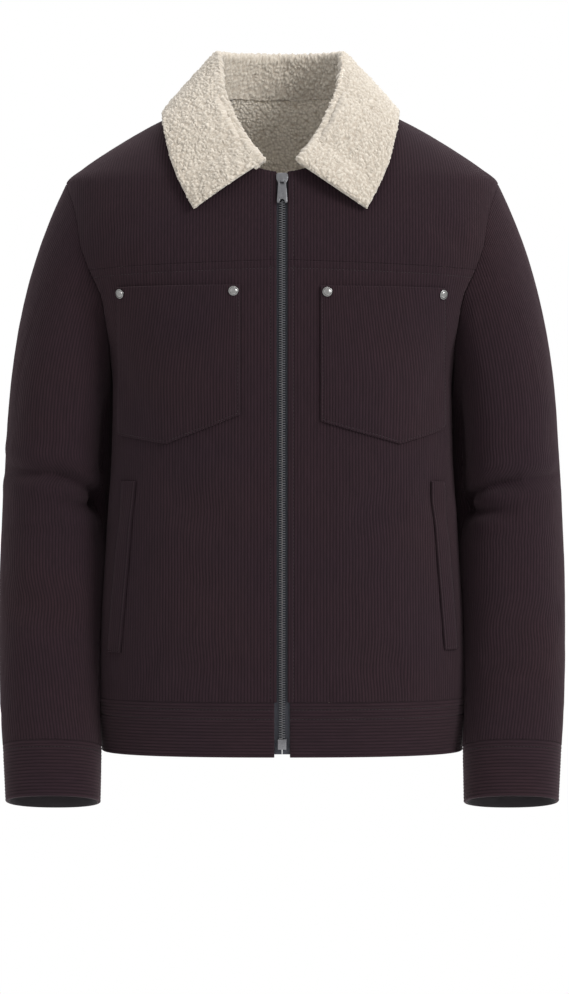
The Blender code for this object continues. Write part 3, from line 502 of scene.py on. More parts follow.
# %% Measures of the sleeves
SLEEVE = rows_of(
    "z outer inner middle_y half_depth tilt",
    (-0.340, 0.2855, 0.1725, 0.002, 0.0800, 0.0),
    (-0.400, 0.2893, 0.1750, 0.003, 0.0760, 3.0),
    (-0.440, 0.2910, 0.1780, 0.000, 0.0715, 7.0),
    (-0.500, 0.2925, 0.1820, -0.011, 0.0660, 11.0),
    (-0.580, 0.2915, 0.1860, -0.029, 0.0570, 13.0),
    (-0.640, 0.2888, 0.1865, -0.043, 0.0500, 13.0),
    (-0.673, 0.2862, 0.1850, -0.051, 0.0470, 13.0),
    (-0.735, 0.2820, 0.1855, -0.065, 0.0450, 13.0),
)
SLEEVE_JOIN_Z = -0.340
SLEEVE_SQUARENESS = 2.25
SLEEVE_RADIUS = 0.060
CAP_LEAN = (0.50, 0.28)
UNDERARM_TUCK = 0.33
CAP_FULLNESS = 1.08
SLEEVE_REST = 0.0003
SLEEVE_SOFT = 0.0008
CUFF_TOP_Z = -0.6705
CUFF_LENGTH = 0.056
SEAM_INNER = 162
SEAM_BACK = 270

SLEEVE_FOLDS = rows_of(
    "side turn z to_turn to_z depth width",
    (-1, 5, -0.381, 115, -0.399, 0.0055, 0.010),
    (-1, 85, -0.394, 165, -0.420, 0.0065, 0.010),
    (-1, 90, -0.429, 172, -0.420, 0.0075, 0.011),
    (-1, 285, -0.352, 355, -0.380, 0.0040, 0.012),
    (-1, 190, -0.368, 262, -0.402, 0.0055, 0.011),
    (-1, 10, -0.235, 80, -0.310, 0.0045, 0.018),
    (-1, 30, -0.515, 125, -0.565, 0.0040, 0.016),
    (-1, 195, -0.520, 265, -0.560, 0.0040, 0.018),
    (1, 15, -0.390, 110, -0.406, 0.0050, 0.010),
    (1, 80, -0.401, 165, -0.420, 0.0065, 0.010),
    (1, 85, -0.436, 170, -0.428, 0.0070, 0.010),
    (1, 285, -0.360, 355, -0.388, 0.0040, 0.012),
    (1, 188, -0.374, 258, -0.406, 0.0055, 0.011),
    (1, 10, -0.250, 85, -0.320, 0.0045, 0.018),
    (1, 35, -0.540, 130, -0.590, 0.0040, 0.016),
    (1, 195, -0.530, 262, -0.575, 0.0040, 0.018),
)
ELBOW_CREASES = rows_of(
    "side turn z to_turn to_z depth",
    (-1, 12, -0.384, 120, -0.400, 0.0026),
    (-1, 88, -0.396, 168, -0.422, 0.0050),
    (-1, 98, -0.430, 172, -0.421, 0.0040),
    (-1, 200, -0.371, 258, -0.401, 0.0022),
    (-1, 292, -0.356, 350, -0.381, 0.0016),
    (-1, 40, -0.452, 105, -0.462, 0.0012),
    (-1, 62, -0.600, 118, -0.622, 0.0013),
    (-1, 315, -0.628, 375, -0.640, 0.0012),
    (-1, 205, -0.605, 258, -0.628, 0.0013),
    (1, 18, -0.392, 112, -0.407, 0.0024),
    (1, 84, -0.403, 166, -0.423, 0.0046),
    (1, 92, -0.438, 170, -0.429, 0.0040),
    (1, 196, -0.377, 254, -0.405, 0.0022),
    (1, 290, -0.364, 348, -0.388, 0.0016),
    (1, 30, -0.462, 96, -0.474, 0.0012),
    (1, 50, -0.612, 112, -0.600, 0.0013),
    (1, 312, -0.622, 368, -0.638, 0.0012),
    (1, 200, -0.600, 262, -0.620, 0.0013),
)
print(len(SLEEVE_FOLDS), "folds and", len(ELBOW_CREASES), "creases on two sleeves")

# %% [markdown]
# ### Folds and creases
#
# At an elbow the cloth above bulges over the crease, and the cloth below slides under it. So a
# crease has a steep upper side and a slow lower one, while a fold is the same on both sides. The
# sleeve also hollows where it faces the body, so a dark gap shows between the two.

# %% Sleeve surface
CREASE_FADE = 0.8
CREASE_ABOVE = 0.0034
CREASE_BELOW = 0.0085
CREASE_BULGE = 0.45
BULGE_AWAY = 2.6 * CREASE_ABOVE
BULGE_WIDTH = 1.8 * CREASE_ABOVE
HOLLOW_TURN = 150
HOLLOW_WIDTH = 0.027
HOLLOW_DEPTH = 0.0145
HOLLOW_TOP_Z = -0.285
HOLLOW_FOOT_Z = -0.485
HOLLOW_FADE = 0.06
sleeve = reader(SLEEVE, "z")


def arc_from(turn, start):
    """Distance round the sleeve from one turn to another, the short way."""
    return np.radians((turn - start + 180) % 360 - 180) * SLEEVE_RADIUS


def sharp_crease(arc, z, start, end, depth):
    """A crease that is steep above and slow below."""
    above, fade = beside(arc, z, start, end, CREASE_FADE)
    dip = bell(above, np.where(above > 0, CREASE_ABOVE, CREASE_BELOW))
    return depth * fade * (CREASE_BULGE * bell(above - BULGE_AWAY, BULGE_WIDTH) - dip)


def sleeve_folds(turn, z, side):
    total = 0.0
    for relief, table in ((trough, SLEEVE_FOLDS), (sharp_crease, ELBOW_CREASES)):
        for f in (f for f in table if f.side == side):
            to_arc = np.radians(f.to_turn - f.turn) * SLEEVE_RADIUS
            total = total + relief(arc_from(turn, f.turn), z, (0.0, f.z), (to_arc, f.to_z), *f[5:])
    hollow = (bell(arc_from(turn, HOLLOW_TURN), HOLLOW_WIDTH)
              * ease((HOLLOW_TOP_Z - z) / HOLLOW_FADE) * ease((z - HOLLOW_FOOT_Z) / HOLLOW_FADE))
    return total - HOLLOW_DEPTH * hollow


def beside_body(p):
    """Moves points of a sleeve out of the body that the sleeve rests against."""
    turn = np.arctan2(p[..., 0], -p[..., 1])
    normal = body_normal(turn, p[..., 2])
    excess = SLEEVE_REST - ((p - body_point(turn, p[..., 2])) * normal).sum(-1)
    return p + normal * ((excess + np.sqrt(excess ** 2 + SLEEVE_SOFT ** 2)) / 2)[..., None]


def sleeve_ring_point(turn, z, side):
    angle, tilt = np.radians(turn), np.radians(sleeve("tilt", z))
    outer, inner = sleeve("outer", z), sleeve("inner", z)
    n = SLEEVE_SQUARENESS
    wide = np.abs(np.cos(angle)) / ((outer - inner) / 2)
    radius = (wide ** n + (np.abs(np.sin(angle)) / sleeve("half_depth", z)) ** n) ** (-1 / n)
    radius = radius + sleeve_folds(turn, z, side)
    back = -radius * np.sin(angle)
    x = (outer + inner) / 2 + radius * np.cos(angle)
    y = sleeve("middle_y", z) + back * np.cos(tilt)
    return beside_body(np.stack(np.broadcast_arrays(side * x, y, z - back * np.sin(tilt)), -1))


def cap_point(turn, down, side):
    """The sleeve between the armhole, down 0, and the join, down 1."""
    start, end = armhole_point(turn, side), sleeve_ring_point(turn, SLEEVE_JOIN_Z, side)
    under = (1 - np.cos(np.radians(turn))) / 2
    lean = mix(*CAP_LEAN, under) - UNDERARM_TUCK * under ** 4
    leave = unit(np.stack(np.broadcast_arrays(side * lean, 0.0, -1.0), -1))
    arrive = unit(sleeve_ring_point(turn, SLEEVE_JOIN_Z - 0.01, side) - end)
    reach = np.linalg.norm(end - start, axis=-1, keepdims=True)
    t = np.asarray(down, float)[..., None]
    return hermite(start, end, CAP_FULLNESS * reach * leave, reach * arrive, t)


def out_from(point_at, turn, place, step, side):
    """The normal of a sleeve surface; place grows towards the cuff."""
    around = point_at(turn + 1, place, side) - point_at(turn - 1, place, side)
    along = point_at(turn, place + step, side) - point_at(turn, place - step, side)
    return unit(np.cross(around, along)) * side


def cap_normal(turn, down, side):
    return out_from(cap_point, turn, np.clip(down, 0.01, 0.99), 0.01, side)


def tube_normal(turn, z, side):
    return -out_from(sleeve_ring_point, turn, z, NORMAL_STEP, side)


def armhole_normal(turn, side):
    """The one direction in which both walls end at the armhole seam."""
    body_side = body_normal(armhole_turn(turn, side), armhole_z(turn))
    return unit(body_side + cap_normal(turn, 0.06 + 0 * turn, side))


biceps = sleeve_ring_point(np.arange(0.0, 361.0, 3.0), SLEEVE_JOIN_Z, 1)
print("biceps", round(run_along(biceps)[-1], 3), "m round")

# %% [markdown]
# ## Where the panels end
#
# The seams are lines on that laid-out cloth: armhole, shoulder, neckline and yoke. Each is sampled
# as a short curve of distance and height, and a column of the panel reads its lower and upper end
# from it. So wales run straight, and the seams cut them, as scissors do.

# %% Seam lines
LINE_POINTS = 60


def armhole_line(start, end, back=False, count=LINE_POINTS):
    turns = np.linspace(start, end, count)
    heights = armhole_z(turns)
    return from_middle(armhole_turn(turns, 1), heights, back), heights


def shoulder_line(back):
    heights = np.linspace(NECK_TOP_Z, TIP_Z, LINE_POINTS)
    return from_middle(shoulder_turn(heights, 1), heights, back), heights


def neck_line_front():
    heights = -NECK_DROP * np.cos(np.radians(np.linspace(3.0, 86.0, LINE_POINTS)))
    return from_middle(turn_at_x(neck_x(heights), heights), heights), heights


def neck_line_back():
    turns = np.linspace(np.pi, shoulder_turn(NECK_TOP_Z, 1), LINE_POINTS)
    heights = NECK_TOP_Z + neck_rise(np.abs(np.cos(turns)))
    return from_middle(turns, heights, True), heights


def joined_line(*lines):
    """Lines one after the other, sorted by distance, as a function."""
    arcs, heights = (np.concatenate(parts) for parts in zip(*lines))
    order = np.argsort(arcs)
    return lambda arc: np.interp(arc, arcs[order], heights[order])


MID_ARM_Z = float(armhole_z(90))
front_arm_arc = float(armhole_line(90, 90)[0][0])
back_arm_arc = float(armhole_line(270, 270, True)[0][0])
front_high_arm = joined_line(armhole_line(0, 90))
back_high_arm = joined_line(armhole_line(270, 360, True))
front_top = joined_line(neck_line_front(), shoulder_line(False))
back_top = joined_line(neck_line_back(), shoulder_line(True))
tip_arc_front = float(shoulder_line(False)[0][-1])
tip_arc_back = float(shoulder_line(True)[0][-1])


def yoke_seam(arc):
    return mix(YOKE_CENTRE_Z, MID_ARM_Z, np.abs(arc) / front_arm_arc)


def yoke_bottom(arc):
    return np.where(arc < front_arm_arc, yoke_seam(arc), front_high_arm(arc))


def back_high_bottom(arc):
    return np.where(np.abs(arc) < back_arm_arc, MID_ARM_Z, back_high_arm(np.abs(arc)))


print("armhole is", round(front_arm_arc, 3), "and", round(back_arm_arc, 3), "from the middles")

# %% [markdown]
# ## Corduroy's ribs
#
# The cloth has a rib, or wale, every 3.25 mm. Four columns of points make one rib: a valley, a
# flank, a crest and a flank. That is few enough to raise every rib of the jacket in the mesh, where
# its edges and its shadows are real. The height is kept under a millimetre, and each rib is a little
# uneven, since the nap is. A seam is two rolled edges side by side, which is also how it is sewn.

# %% Ribs and edges
WALE = 0.00325
QUARTER = WALE / 4
WALE_HEIGHT = 0.00050
WALE_FULLNESS = 0.85
WALE_UNEVEN = 0.18
UNEVEN_SIZE = 0.016
SEAM_ROLL = 0.0010
HEM_ROLL = 0.0014
EDGE_STEPS = (0.0002, 0.0006, 0.0012)
STITCH_IN = 0.0080
CHANNEL_DEPTH = 0.00050
CHANNEL_WIDTH = 0.0010


def waves(points, size, seed):
    """Smooth noise between about -1 and 1, from a few crossed sine waves."""
    draw = np.random.default_rng(seed)
    total = 0.0
    for _ in range(6):
        way = unit(draw.normal(size=3)) * draw.uniform(0.7, 1.6) / size
        total = total + np.sin(points @ way * 2 * np.pi + draw.uniform(0, 2 * np.pi))
    return total / 3.0


def wale(across):
    """Height of the ribs, from 0 in a valley to 1 on a crest."""
    return np.abs(np.sin(np.pi * across / WALE)) ** WALE_FULLNESS


def rolled(distance, radius=SEAM_ROLL):
    """How far a rolled edge falls away, as a quarter round."""
    t = np.clip(1 - distance / radius, 0.0, 1.0)
    return -radius * (1 - np.sqrt(1 - t * t))


def channel(distance):
    """The furrow that a row of stitches pulls into the cloth."""
    return -CHANNEL_DEPTH * bell(distance, CHANNEL_WIDTH)


def steps_between(low, high, pitch, at_low=(), at_high=()):
    """Places from low to high, for every column, closer together at stated distances from the ends."""
    low, high = np.broadcast_arrays(np.asarray(low, float), np.asarray(high, float))
    span = high - low
    first, last = max(at_low, default=0.0), max(at_high, default=0.0)
    shrink = np.clip(span / (first + last + 2 * pitch), 0.0, 1.0)
    count = max(2, int(np.ceil((float(span.max()) - first - last) / pitch)))
    start, end = low + first * shrink, high - last * shrink
    rows = [low] + [low + d * shrink for d in at_low if d < first] + [start] * bool(at_low)
    rows += [mix(start, end, k / count) for k in range(1, count)]
    rows += [end] * bool(at_high) + [high - d * shrink for d in sorted(at_high, reverse=True) if d < last]
    return np.array(rows + [high])


print("ribs round the hem:", int(2 * half_girth(HEM_Z) / WALE))

# %% [markdown]
# ## From two grids to a cloth wall
#
# A sheet without thickness looks like paper at a hem. Each piece is therefore a closed wall: a fine
# outer grid, a coarse inner grid, and a rim that joins them. A face of the rim takes a run of fine
# points on one side and one coarse edge on the other, so the inside costs few triangles.

# %% The wall builder
Piece = namedtuple("Piece", "vertices faces inside shade")


def grid_faces(indices, closed=False):
    """Quads of a grid of vertex indices; closed joins the last column to the first."""
    if closed:
        indices = np.concatenate((indices, indices[:, :1]), axis=1)
    quads = np.stack((indices[:-1, :-1], indices[:-1, 1:], indices[1:, 1:], indices[1:, :-1]), -1)
    return quads.reshape(-1, 4)


def numbered(shape, start=0):
    """Indices of the points of a grid."""
    return start + np.arange(np.prod(shape)).reshape(shape)


def picks(count, step):
    """Every step-th index and the last one."""
    return np.array(list(range(0, count - 1, step)) + [count - 1])


def rim(fine_line, coarse_line, fine_at, reverse):
    """Faces between a fine border and a coarse one; fine_at says where the coarse points are."""
    faces = []
    for k in range(len(coarse_line) - 1):
        face = list(fine_line[fine_at[k]:fine_at[k + 1] + 1]) + [coarse_line[k + 1], coarse_line[k]]
        faces.append(face[::-1] if reverse else face)
    return faces


def coarse_columns(columns, step, closed, joined):
    """The columns that the inner grid keeps: few in the joined run, and more beside an armhole."""
    if closed:
        return np.arange(0, columns, step)
    if joined is None:
        return picks(columns, step)
    first, last = (int(k) for k in np.flatnonzero(joined)[[0, -1]])
    kept = [k for k in range(columns) if (k - first) % (step if first <= k <= last else 2) == 0]
    return np.array(sorted({0, first, last, columns - 1, *kept}))


def cloth_wall(outer, inner, shade, steps=(1, 6), closed=False, joined=None, joined_row=None):
    """A closed wall between two grids of (rows, columns, 3), with no rim where it is joined."""
    rows, columns = outer.shape[:2]
    r, c = rows // 2, columns // 2
    facing = np.cross(outer[r, c + 1] - outer[r, c - 1], outer[r + 1, c] - outer[r - 1, c])
    flip = bool(np.dot(facing, outer[r, c] - inner[r, c]) < 0)
    r_at = picks(rows, steps[0])
    c_at = coarse_columns(columns, steps[1], closed, joined)
    inner = inner[np.ix_(r_at, c_at)]
    fine = numbered((rows, columns))
    coarse = numbered(inner.shape[:2], rows * columns)
    outside, inside = grid_faces(fine, closed), grid_faces(coarse, closed)
    outside, inside = (outside[:, ::-1], inside) if flip else (outside, inside[:, ::-1])
    if closed:
        c_at = np.append(c_at, columns)
        fine = np.concatenate((fine, fine[:, :1]), axis=1)
        coarse = np.concatenate((coarse, coarse[:, :1]), axis=1)
    edges = []
    for row, reverse in ((0, not flip), (-1, flip)):
        border = rim(fine[row], coarse[row], c_at, reverse)
        if row == joined_row:
            border = [f for f, a, b in zip(border, c_at, c_at[1:]) if not (joined[a] and joined[b])]
        edges += border
    if not closed:
        edges += rim(fine[:, 0], coarse[:, 0], r_at, flip)
        edges += rim(fine[:, -1], coarse[:, -1], r_at, not flip)
    vertices = np.concatenate((outer.reshape(-1, 3), inner.reshape(-1, 3)))
    tint = np.ones(len(vertices))
    tint[:rows * columns] = shade.reshape(-1)
    return Piece(vertices, outside.tolist() + edges, inside.tolist(), tint)


def joined_walls(*walls):
    """Several walls as one, with the inner faces last."""
    start, faces, inside = 0, [], []
    for part in walls:
        faces += [[start + k for k in face] for face in part.faces]
        inside += [[start + k for k in face] for face in part.inside]
        start += len(part.vertices)
    return Piece(np.concatenate([p.vertices for p in walls]), faces, inside,
                 np.concatenate([p.shade for p in walls]))


# %% [markdown]
# ## Making and attaching a piece
#
# A piece rides on its body, and stands for its solid in the frame, which is hidden. Most pieces have
# their solid's name with the word cloth or metal added, so the solid's name is read from theirs.

# %% Making and attaching a piece
WELD = 1e-6
triangle_total = 0


def make_object(name, piece, materials, sharp=60, attribute="nap"):
    """The inner faces take the second material. Points on one spot are welded."""
    global triangle_total
    data = bpy.data.meshes.new(name)
    data.from_pydata(piece.vertices.tolist(), [], piece.faces + piece.inside)
    # The shade value of each point goes to an attribute, from which a material paints shade and highlight.
    if piece.shade is not None:
        layer = data.attributes.new(attribute, "FLOAT", "POINT")
        layer.data.foreach_set("value", np.asarray(piece.shade, np.float32))
    for material in materials:
        data.materials.append(material)
    if len(materials) > 1:
        index = np.repeat(np.array((0, 1), np.int32), (len(piece.faces), len(piece.inside)))
        data.polygons.foreach_set("material_index", index)
    mesh = bmesh.new()
    mesh.from_mesh(data)
    bmesh.ops.remove_doubles(mesh, verts=mesh.verts, dist=WELD)
    bmesh.ops.dissolve_degenerate(mesh, edges=mesh.edges, dist=WELD)
    mesh.to_mesh(data)
    mesh.free()
    data.shade_smooth()
    data.set_sharp_from_angle(angle=np.radians(sharp))
    triangles = sum(len(face.vertices) - 2 for face in data.polygons)
    triangle_total += triangles
    print("%-26s %6d triangles" % (name, triangles), end="  ")
    return add_object(name, data)


def area_of(grid):
    """Area of a grid of points."""
    diagonals = np.cross(grid[1:, 1:] - grid[:-1, :-1], grid[1:, :-1] - grid[:-1, 1:])
    return float(np.linalg.norm(diagonals, axis=2).sum() / 2)


def longest(grid, axis):
    """Length of a grid's longest row (axis 1) or column (axis 0)."""
    return float(run_along(grid, axis).max())


def sew(thing, node, width, area):
    """Attaches a finished cloth piece to the jacket and hides its solid. The size of the cloth that it was
    cut from, width and area, is not used.
    """
    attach(thing, "jacket")
    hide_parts(node)


def make_cloth(name, piece, materials, base, width=None):
    width = longest(base, 1) if width is None else width
    sew(make_object(name, piece, materials), name.replace("_cloth", ""),
        width, area_of(base))


def loose(thing, body="jacket", node=None):
    """Attaches a piece that isn't a sheet of cloth to its body, and hides its solid if one is named."""
    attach(thing, body)
    if node:
        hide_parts(node)
    print("rides on", body)

# %% [markdown]
# ## Shader maths as Python
#
# A material is a graph of nodes, and maths in it soon becomes a page of boxes. This small class
# wraps a socket, so that an ordinary expression on values adds the Math nodes. Any other node comes
# from one method that takes its type, its settings and its inputs.

# %% A socket that knows arithmetic
class Value:
    """A socket in a material's tree, with the usual operators."""

    def __init__(self, tree, socket):
        self.tree = tree
        self.socket = socket

    def math(self, operation, *others):
        return self.tree.add("ShaderNodeMath", {"operation": operation}, self, *others)

    def __add__(self, other):
        return self.math("ADD", other)

    def __rsub__(self, other):
        return self.tree.add("ShaderNodeMath", {"operation": "SUBTRACT"}, other, self)

    def __mul__(self, other):
        return self.math("MULTIPLY", other)

    def __pow__(self, other):
        return self.math("POWER", other)

    __radd__ = __add__


class Finish:
    """A material and its tree."""

    def __init__(self, name, color, roughness, **constants):
        self.material = bpy.data.materials.new(name)
        self.material.use_nodes = True
        self.nodes = self.material.node_tree.nodes
        self.links = self.material.node_tree.links
        self.shader = self.nodes["Principled BSDF"]
        self.set("Base Color", color)
        self.set("Roughness", roughness)
        for key, value in constants.items():
            self.set(key.replace("_", " "), value)

    def set(self, socket, value):
        self.plug(self.shader.inputs[socket], value)

    def plug(self, target, value):
        if isinstance(value, Value):
            self.links.new(value.socket, target)
        elif target.type == "RGBA":
            target.default_value = (*value, 1.0)
        else:
            target.default_value = value

    def add(self, kind, settings=None, *inputs, out=0, **named):
        """Adds any node: settings first, then its inputs by order or by name."""
        node = self.nodes.new(kind)
        for key, value in (settings or {}).items():
            setattr(node, key, value)
        for target, value in zip(node.inputs, inputs):
            self.plug(target, value)
        for key, value in named.items():
            self.plug(node.inputs[key.replace("_", " ")], value)
        return Value(self, node.outputs[out])

    def blend(self, factor, one, two):
        """Mixes two colours."""
        node = self.nodes.new("ShaderNodeMix")
        node.data_type = "RGBA"
        self.plug(node.inputs[0], factor)
        self.plug(node.inputs[6], one)
        self.plug(node.inputs[7], two)
        return Value(self, node.outputs[2])

    def color(self, factor, one, two):
        """The finish's own colour, from one to the other."""
        self.set("Base Color", self.blend(factor, one, two))

    def attribute(self, name):
        return self.add("ShaderNodeAttribute", {"attribute_name": name}, out="Fac")

    def place(self, scale=(1.0, 1.0, 1.0)):
        """Object coordinates, stretched by a scale."""
        here = self.add("ShaderNodeTexCoord", out="Object")
        return self.add("ShaderNodeVectorMath", {"operation": "MULTIPLY"}, here, scale)

    def noise(self, scale, detail=2.0, stretch=(1.0, 1.0, 1.0)):
        return self.add("ShaderNodeTexNoise", None, out="Fac", Vector=self.place(stretch), Scale=scale,
                        Detail=detail)

    def bump(self, height, distance, strength):
        self.set("Normal", self.add("ShaderNodeBump", None, out="Normal", Height=height,
                                    Distance=distance, Strength=strength))


print("shader helpers ready")

# %% [markdown]
# ## Corduroy, thread and linings
#
# Corduroy is a velvet cut into ribs. Fibres stand up on each rib and catch light at grazing angles,
# which is what the shader's sheen does. The colour also carries painted light: a vertex attribute
# holds the rib's height, and the colour is painted dark in the valleys as painted shade and light on
# the crests as a painted highlight, so colour and relief agree. The collar's tufts have one too, from
# which shade is painted into their crevices. Streaks along the ribs are noise stretched in the ribs'
# direction.

# %% Cloth finishes
ALONG_Z = (700.0, 700.0, 45.0)
ALONG_XY = (45.0, 45.0, 700.0)
# The crest colour is the cloth's own; the much darker valley colour is painted shade for the rib valleys.
CREST = np.array((0.0172, 0.0081, 0.0113))
VALLEY_SHADE = (0.0034, 0.0017, 0.0026)


def corduroy(name, streaks):
    cloth = Finish(name, (0.03, 0.02, 0.02), 0.95, Sheen_Weight=0.10, Sheen_Roughness=0.50,
                   Sheen_Tint=(0.60, 0.42, 0.47), Specular_IOR_Level=0.15)
    nap = cloth.attribute("nap")
    streak = cloth.noise(1.0, 3.0, streaks)
    patches = cloth.noise(9.0, 3.0)
    fuzz = cloth.noise(2600.0, 1.0)
    # Painted light: the colour runs from the dark valley colour (painted shade) to the crest colour (painted
    # highlight) with the rib's height; streaks and fuzz vary the tone at random.
    painted_light_and_streaks = (0.25 + nap * 0.75) * (0.22 + streak * 1.05 + fuzz * 0.30)
    warm = cloth.blend(patches, CREST * (1.22, 1.16, 1.02), CREST * (0.80, 0.82, 0.98))
    cloth.color(painted_light_and_streaks, VALLEY_SHADE, warm)
    cloth.bump(fuzz * 0.6 + streak * 0.4, 0.00035, 0.55)
    return cloth.material


CORDUROY = corduroy("corduroy", ALONG_Z)
BAND_CORDUROY = corduroy("corduroy_across", ALONG_XY)

thread = Finish("thread", (0.013, 0.0075, 0.0095), 0.75)
thread.bump(thread.noise(3500.0, 1.0), 0.0002, 0.5)
THREAD = thread.material

sleeve_lining = Finish("sleeve_lining", (0.018, 0.014, 0.017), 0.45, Sheen_Weight=0.1)
sleeve_lining.bump(sleeve_lining.noise(60.0, 3.0), 0.0012, 0.6)
SLEEVE_LINING = sleeve_lining.material

pile_lining = Finish("pile_lining", (0.62, 0.56, 0.47), 0.95, Sheen_Weight=0.4)
curls = pile_lining.add("ShaderNodeTexVoronoi", {"feature": "SMOOTH_F1"}, out="Distance",
                        Vector=pile_lining.place(), Scale=330.0, Smoothness=0.25)
# Painted shade: each curl is painted darker towards its edge, in the crevices that its bump makes.
pile_lining.color(curls ** 1.4, (0.76, 0.70, 0.61), (0.36, 0.30, 0.23))
pile_lining.bump(1.0 - curls, 0.0018, 0.9)
PILE_LINING = pile_lining.material

pile = Finish("pile_collar", (0.54, 0.49, 0.42), 0.95, Sheen_Weight=0.25, Sheen_Roughness=0.6)
fluff = pile.noise(1100.0, 3.0)
grime = pile.noise(22.0, 3.0)
# Painted shade: the tuft tops take the light colours and the crevices between tufts the dark ones; the grime
# noise varies the tone at random.
high = pile.blend(grime, (0.53, 0.485, 0.415), (0.47, 0.425, 0.36))
deep = pile.blend(grime, (0.33, 0.28, 0.225), (0.28, 0.235, 0.185))
pile.color(pile.attribute("nub") ** 0.7 * (0.85 + fluff * 0.3), deep, high)
pile.bump(fluff, 0.0007, 0.8)
PILE_COLLAR = pile.material

# %% [markdown]
# ### Metal and zip tape
#
# Small cast metal is never evenly bright. Noise at two sizes varies its roughness, and a little of
# its colour, which breaks the reflection up as handling does. The tape is a twill: a slanted wave
# in its bump is enough at this size.

# %% Metal and tape finishes
def metal(name, color, roughness, tint):
    finish = Finish(name, color, roughness, Metallic=1.0)
    wear, grain = finish.noise(420.0, 4.0), finish.noise(2400.0, 2.0)
    finish.set("Roughness", roughness * 0.7 + wear * (roughness * 0.6))
    finish.color(wear, color, tint)
    finish.bump(grain, 0.00006, 0.5)
    return finish.material


GUNMETAL = metal("gunmetal", (0.125, 0.123, 0.130), 0.30, (0.20, 0.20, 0.21))
RIVET_STEEL = metal("rivet_steel", (0.30, 0.297, 0.293), 0.26, (0.18, 0.177, 0.173))

tape = Finish("zip_tape", (0.020, 0.022, 0.030), 0.85, Sheen_Weight=0.2)
twill = tape.add("ShaderNodeTexWave", {"bands_direction": "DIAGONAL"}, out="Fac",
                 Vector=tape.place(), Scale=420.0)
tape.color(twill, (0.014, 0.015, 0.021), (0.030, 0.032, 0.042))
tape.bump(twill, 0.0002, 0.6)
ZIP_TAPE = tape.material

floor_finish = Finish("floor_finish", (0.86, 0.86, 0.86), 0.8)
floor_finish.color(floor_finish.noise(3.0), (0.85, 0.85, 0.85), (0.88, 0.88, 0.88))
floor.data.materials.append(floor_finish.material)
print("cloth finishes:", CORDUROY.name, BAND_CORDUROY.name, PILE_LINING.name)

# %% [markdown]
# ## Body panels
#
# A panel is laid out in columns, at a distance from the middle front or from the middle back, so
# the ribs run straight down the cloth. Extra rows near a seam make its rolled edge crisp. An upper
# panel spreads its rows between its two seams. The armhole's lower half is nearly upright, and even
# leans in, so a lower panel keeps its rows level, and each ends on the side seam or the armhole.

# %% Panel layout
ROW = 0.0070
ON_LINE = 1e-7
UNDER_ARM_TURNS = np.arange(174.0, 136.0, -6.0)
FULL_SHIFT = 0.05
LIMIT_POINTS = 80
STITCH_ROWS = EDGE_STEPS + (0.0040, 0.0062, 0.0071, 0.0080, 0.0089, 0.0100)
stitch_lines = []


def lay(arcs, z, side, back=False):
    """Turn of every grid point; side mirrors a front, and a back has signed distances."""
    if back:
        turn = turn_of(np.abs(arcs), z, True)
        return np.where(arcs < 0, -turn, turn)
    return side * turn_of(arcs, z)


def side_limit(z, back=False):
    return from_middle(np.pi / 2, z, back) - HALF_GAP


def widest(back=False):
    """The farthest that the side seam is from the middle, between the band and the armhole."""
    return side_limit(np.linspace(BAND_TOP_Z, UNDERARM_Z, LIMIT_POINTS), back).max()


def front_columns(end):
    """Places every quarter rib, with a few more at the rolled front edge."""
    columns = np.arange(FRONT_EDGE, end + QUARTER, QUARTER)
    return np.sort(np.concatenate((columns, FRONT_EDGE + np.array(EDGE_STEPS))))


def high_panel_grid(columns, low, high, side, back=False, at_low=EDGE_STEPS):
    """Distances, heights and turns of an upper panel's points."""
    z = steps_between(low(columns) + HALF_GAP, high(columns) - HALF_GAP, ROW, at_low, EDGE_STEPS)
    arcs = np.tile(columns, (len(z), 1))
    return arcs, z, lay(arcs, z, side, back)


def low_armhole(back, count=LINE_POINTS):
    """The armhole's lower half, in front or behind."""
    return armhole_line(180, 270, True, count) if back else armhole_line(90, 180, False, count)


def armhole_limit(z, back):
    """Where a lower panel ends on the armhole, at every height."""
    arcs, heights = low_armhole(back)
    order = np.argsort(heights)
    return np.interp(z, heights[order], arcs[order]) - HALF_GAP


def armhole_distance(arcs, z, back):
    """How far points of a lower panel are from the armhole, and 1 well below it."""
    line = np.stack(low_armhole(back, 400), -1)
    near = z > UNDERARM_Z - 0.002
    away = np.ones(z.shape)
    points = np.stack((np.abs(arcs[near]), z[near]), -1)
    away[near] = np.linalg.norm(points[:, None] - line, axis=2).min(axis=1)
    return away


def low_panel_grid(columns, top, side, back=False, at_high=()):
    """The same of a lower panel, how far each is from a side edge, and which lie on the armhole."""
    foot, head, last = BAND_TOP_Z + HALF_GAP, MID_ARM_Z - HALF_GAP, max(at_high, default=0.0)
    under_arm = armhole_z(UNDER_ARM_TURNS)
    below = np.linspace(foot + EDGE_STEPS[-1], UNDERARM_Z, int((UNDERARM_Z - foot) / ROW))
    above = np.linspace(under_arm[-1], head - last, 2 + int((head - last - under_arm[-1]) / ROW))[1:]
    crisp = [head - d for d in sorted(at_high, reverse=True)[1:]] + [head] * bool(at_high)
    levels = np.concatenate(([foot], foot + np.array(EDGE_STEPS[:-1]), below, under_arm, above, crisp))
    shift = np.clip((levels - UNDERARM_Z) / FULL_SHIFT, 0.0, 1.0)[:, None]
    z = levels[:, None] + (top(np.abs(columns)) - MID_ARM_Z) * shift
    limit = np.where(z <= UNDERARM_Z, side_limit(z, back), armhole_limit(z, back))
    arcs = np.clip(np.broadcast_to(columns, z.shape), -limit, limit)
    on_armhole = (z > UNDERARM_Z) & (np.abs(arcs) >= limit - ON_LINE)
    from_arm = np.where(on_armhole, 0.0, armhole_distance(arcs, z, back))
    edge = np.minimum(np.where(z <= UNDERARM_Z, limit - np.abs(arcs), 1.0), from_arm)
    return arcs, z, lay(arcs, z, side, back), edge, on_armhole


